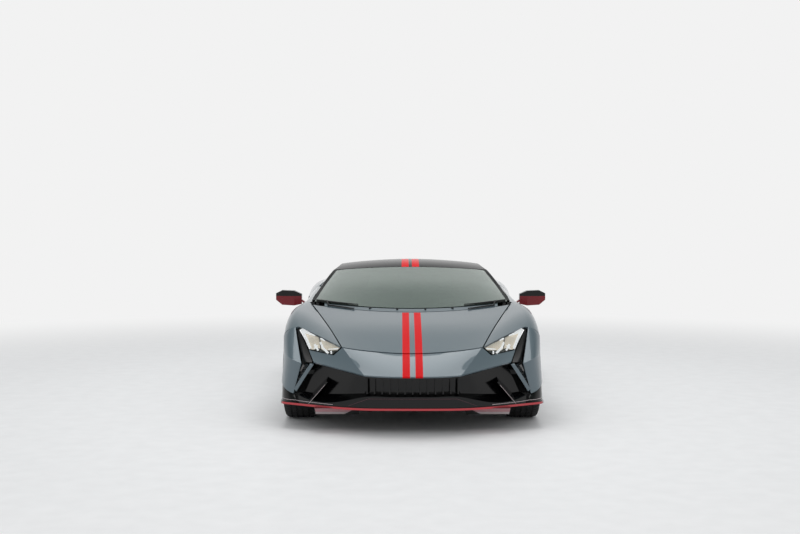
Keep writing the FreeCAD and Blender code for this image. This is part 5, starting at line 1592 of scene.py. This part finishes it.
@dataclass
class DoorMirror:
    """The glass of a door mirror, which faces the driver.

    Attributes:
        side: "left" or "right".
        outline: the glass's outline as (half-breadth, height) in mm.
        face_mm: the station of the shell's rear face.
    """

    side: str
    outline: tuple[Pair, ...] = ((930, 820), (925, 896), (960, 910), (1060, 912), (1098, 884), (1090, 852),
                                 (1056, 822))
    face_mm: float = 1766.0

    def build(self) -> None:
        """Makes the glass and the black rim round it."""
        out = sign_of(self.side)
        body = f"door_{self.side}"
        middle = middle_of(self.outline)
        parts = ("rim", 1.03, 2.0, SATIN_BLACK), ("glass", 0.95, 3.0, MIRROR_GLASS)
        for name, grow, depth, finish in parts:
            ring = [at(self.face_mm, out * x, z) for x, z in scaled(self.outline, middle, grow)]
            Shape().plate(ring, Vector((0, depth * MM, 0))).piece(f"mirror_{name}_{self.side}", finish, body)


@dataclass
class VaneRibs:
    """The small ribs across the dark slot beside each painted blade.

    Attributes:
        side: "left" or "right".
        upper: the slot's upper end, as two (station, half-breadth, height) points in mm across it.
        lower: its lower end.
        count: how many ribs.
    """

    side: str
    upper: tuple[Point, Point] = ((366, 736, 452), (442, 778, 448))
    lower: tuple[Point, Point] = ((430, 832, 296), (452, 848, 300))
    count: int = 4

    def build(self) -> None:
        """Makes the ribs."""
        out = sign_of(self.side)
        shape = Shape()
        for i in range(self.count):
            share = (i + 0.5) / self.count
            a = at(*self.upper[0]).lerp(at(*self.lower[0]), share)
            b = at(*self.upper[1]).lerp(at(*self.lower[1]), share)
            a.x, b.x = a.x * out, b.x * out
            shape.tube([a, b], 3.5 * MM, 6, 1.4)
        shape.piece(f"vane_ribs_{self.side}", SATIN_BLACK)


@dataclass
class Studio:
    """The plain pale room round the car: floor, soft lamps and the camera.

    Attributes:
        eye: the camera's place.
        lens_mm: its focal length on a 36 mm sensor.
        pitch_deg: how far it looks down.
        floor_colour: the floor's sRGB colour.
        backdrop: the sRGB colour of the room behind the car and, by reflection, round it.
        ceiling: the sRGB colour that the backdrop darkens to overhead.
        fade_m: how far out the floor starts and ends its fade into the backdrop.
        sky_fade: how high the backdrop starts and ends its fade into the ceiling, as the sine of the angle.
        soft_light: the colour and the strength of the light from all round.
    """

    eye: Point = (-0.088, -10.47, 1.44)
    lens_mm: float = 54.0
    pitch_deg: float = 1.87
    floor_colour: str = "#EDEDED"
    backdrop: str = "#F2F2F2"
    ceiling: str = "#8B9290"
    fade_m: Pair = (3.5, 10.0)
    sky_fade: Pair = (0.38, 0.8)
    soft_light: tuple[str, float] = ("#F4F6F8", 0.72)

    def build(self) -> None:
        """Makes the floor, the light and the camera."""
        self.floor()
        self.world()
        self.lamps()
        self.camera()

    def shown(self, tree: bpy.types.NodeTree) -> bpy.types.NodeSocket:
        """Returns 1 for rays of the camera, of mirrors and of glass, which see the backdrop."""
        rays = add_node(tree, "ShaderNodeLightPath").outputs
        seen = rays["Is Camera Ray"]
        for kind in ("Is Glossy Ray", "Is Transmission Ray"):
            either = add_node(tree, "ShaderNodeMath", {"operation": "MAXIMUM"}, {0: seen, 1: rays[kind]})
            seen = either.outputs[0]
        return seen

    def floor(self) -> None:
        """Lays a wide pale floor under the car, which fades into the backdrop far out."""
        bpy.ops.mesh.primitive_plane_add(size=120.0)
        plane = bpy.context.object
        plane.name = "floor"
        material = Finish("pale studio floor", self.floor_colour, 0.6).material()
        tree = material.node_tree
        place = add_node(tree, "ShaderNodeTexCoord").outputs["Object"]
        away = add_node(tree, "ShaderNodeVectorMath", {"operation": "LENGTH"}, {0: place})
        far = add_node(tree, "ShaderNodeMapRange", {
            "interpolation_type": "SMOOTHSTEP", "From Min": self.fade_m[0], "From Max": self.fade_m[1]},
            {"Value": away.outputs["Value"]})
        share = add_node(tree, "ShaderNodeMath", {"operation": "MULTIPLY"},
                         {0: far.outputs["Result"], 1: self.shown(tree)})
        glow = add_node(tree, "ShaderNodeEmission", {"Color": linear(self.backdrop), "Strength": 1.0})
        surface = tree.nodes["Principled BSDF"].outputs[0]
        mix = add_node(tree, "ShaderNodeMixShader", links={
            0: share.outputs[0], 1: surface, 2: glow.outputs[0]})
        tree.links.new(mix.outputs[0], tree.nodes["Material Output"].inputs["Surface"])
        plane.data.materials.append(material)

    def world(self) -> None:
        """Lights the car softly from all round, and shows the pale backdrop behind it."""
        world = bpy.data.worlds.new("studio")
        world.use_nodes = True
        bpy.context.scene.world = world
        tree = world.node_tree
        soft = tree.nodes["Background"]
        soft.inputs["Color"].default_value = linear(self.soft_light[0])
        soft.inputs["Strength"].default_value = self.soft_light[1]
        heading = add_node(tree, "ShaderNodeTexCoord").outputs["Generated"]
        parts = add_node(tree, "ShaderNodeSeparateXYZ", links={0: heading})
        height = add_node(tree, "ShaderNodeMapRange", {
            "interpolation_type": "SMOOTHSTEP", "From Min": self.sky_fade[0], "From Max": self.sky_fade[1]},
            {"Value": parts.outputs["Z"]})
        tone = add_node(tree, "ShaderNodeMix", {
            "data_type": "RGBA", 6: linear(self.backdrop), 7: linear(self.ceiling)},
            {"Factor": height.outputs["Result"]})
        seen = add_node(tree, "ShaderNodeBackground", {"Strength": 1.0}, {"Color": tone.outputs[2]})
        mix = add_node(tree, "ShaderNodeMixShader", links={
            0: self.shown(tree), 1: soft.outputs[0], 2: seen.outputs[0]})
        tree.links.new(mix.outputs[0], tree.nodes["World Output"].inputs["Surface"])

    def lamps(self) -> None:
        """Hangs large soft lamps over the car and before it."""
        for name, place, aim, size, watts in (
            ("top", (0.0, 0.0, 6.5), (0.0, 0.0, 0.0), (4.5, 5.5), 185.0),
            ("front", (0.0, -7.0, 4.5), (0.0, -1.5, 0.5), (6.0, 2.0), 45.0),
        ):
            data = bpy.data.lights.new(name, "AREA")
            data.shape = "RECTANGLE"
            data.size, data.size_y = size
            data.energy = watts
            lamp = bpy.data.objects.new(name, data)
            lamp.location = place
            lamp.rotation_euler = (Vector(aim) - Vector(place)).to_track_quat("-Z", "Y").to_euler()
            bpy.context.scene.collection.objects.link(lamp)

    def camera(self) -> None:
        """Stands the camera before the car, as in the photograph."""
        data = bpy.data.cameras.new("camera")
        data.lens = self.lens_mm
        data.sensor_width = 36.0
        camera = bpy.data.objects.new("camera", data)
        camera.location = self.eye
        camera.rotation_euler = (math.radians(90 - self.pitch_deg), 0.0, 0.0)
        bpy.context.scene.collection.objects.link(camera)
        bpy.context.scene.camera = camera


def dress_nodes(nodes: dict[str, bpy.types.Object]) -> None:
    """Gives each CAD node the finish of its real material."""
    for name, node in nodes.items():
        node.data.materials.clear()
        node.data.materials.append(NODE_FINISHES[name].material())


def main() -> None:
    """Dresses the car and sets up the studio."""
    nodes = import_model()["nodes"]
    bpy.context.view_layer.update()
    bpy.context.scene.view_settings.view_transform = "Standard"
    dress_nodes(nodes)
    for end in ENDS:
        for side in SIDES:
            Tyre(end, side).build()
            WheelTrim(end, side).build()
            Brake(end, side).build()
    for side in SIDES:
        Headlamp(side).build()
        DoorMirror(side).build()
        VaneRibs(side).build()
        DoorTrim(side, Skin(nodes, [f"door_{side}"])).build()
        SideIntake(side, Skin(nodes, ["rear_quarters"])).build()
    Tail(Skin(nodes, ["tail_panel"]), Skin(nodes, ["rear_bumper"])).build()
    Cabin().build()
    Pinstripes(Skin(nodes, ["splitter"]), Skin(nodes, ["front_intake"])).build()
    Screen(Skin(nodes, ["windscreen", "cowl", "hood"])).build()
    Studio().build()


if __name__ == "__main__":
    logging.basicConfig(level=logging.INFO, format="%(message)s")
    main()
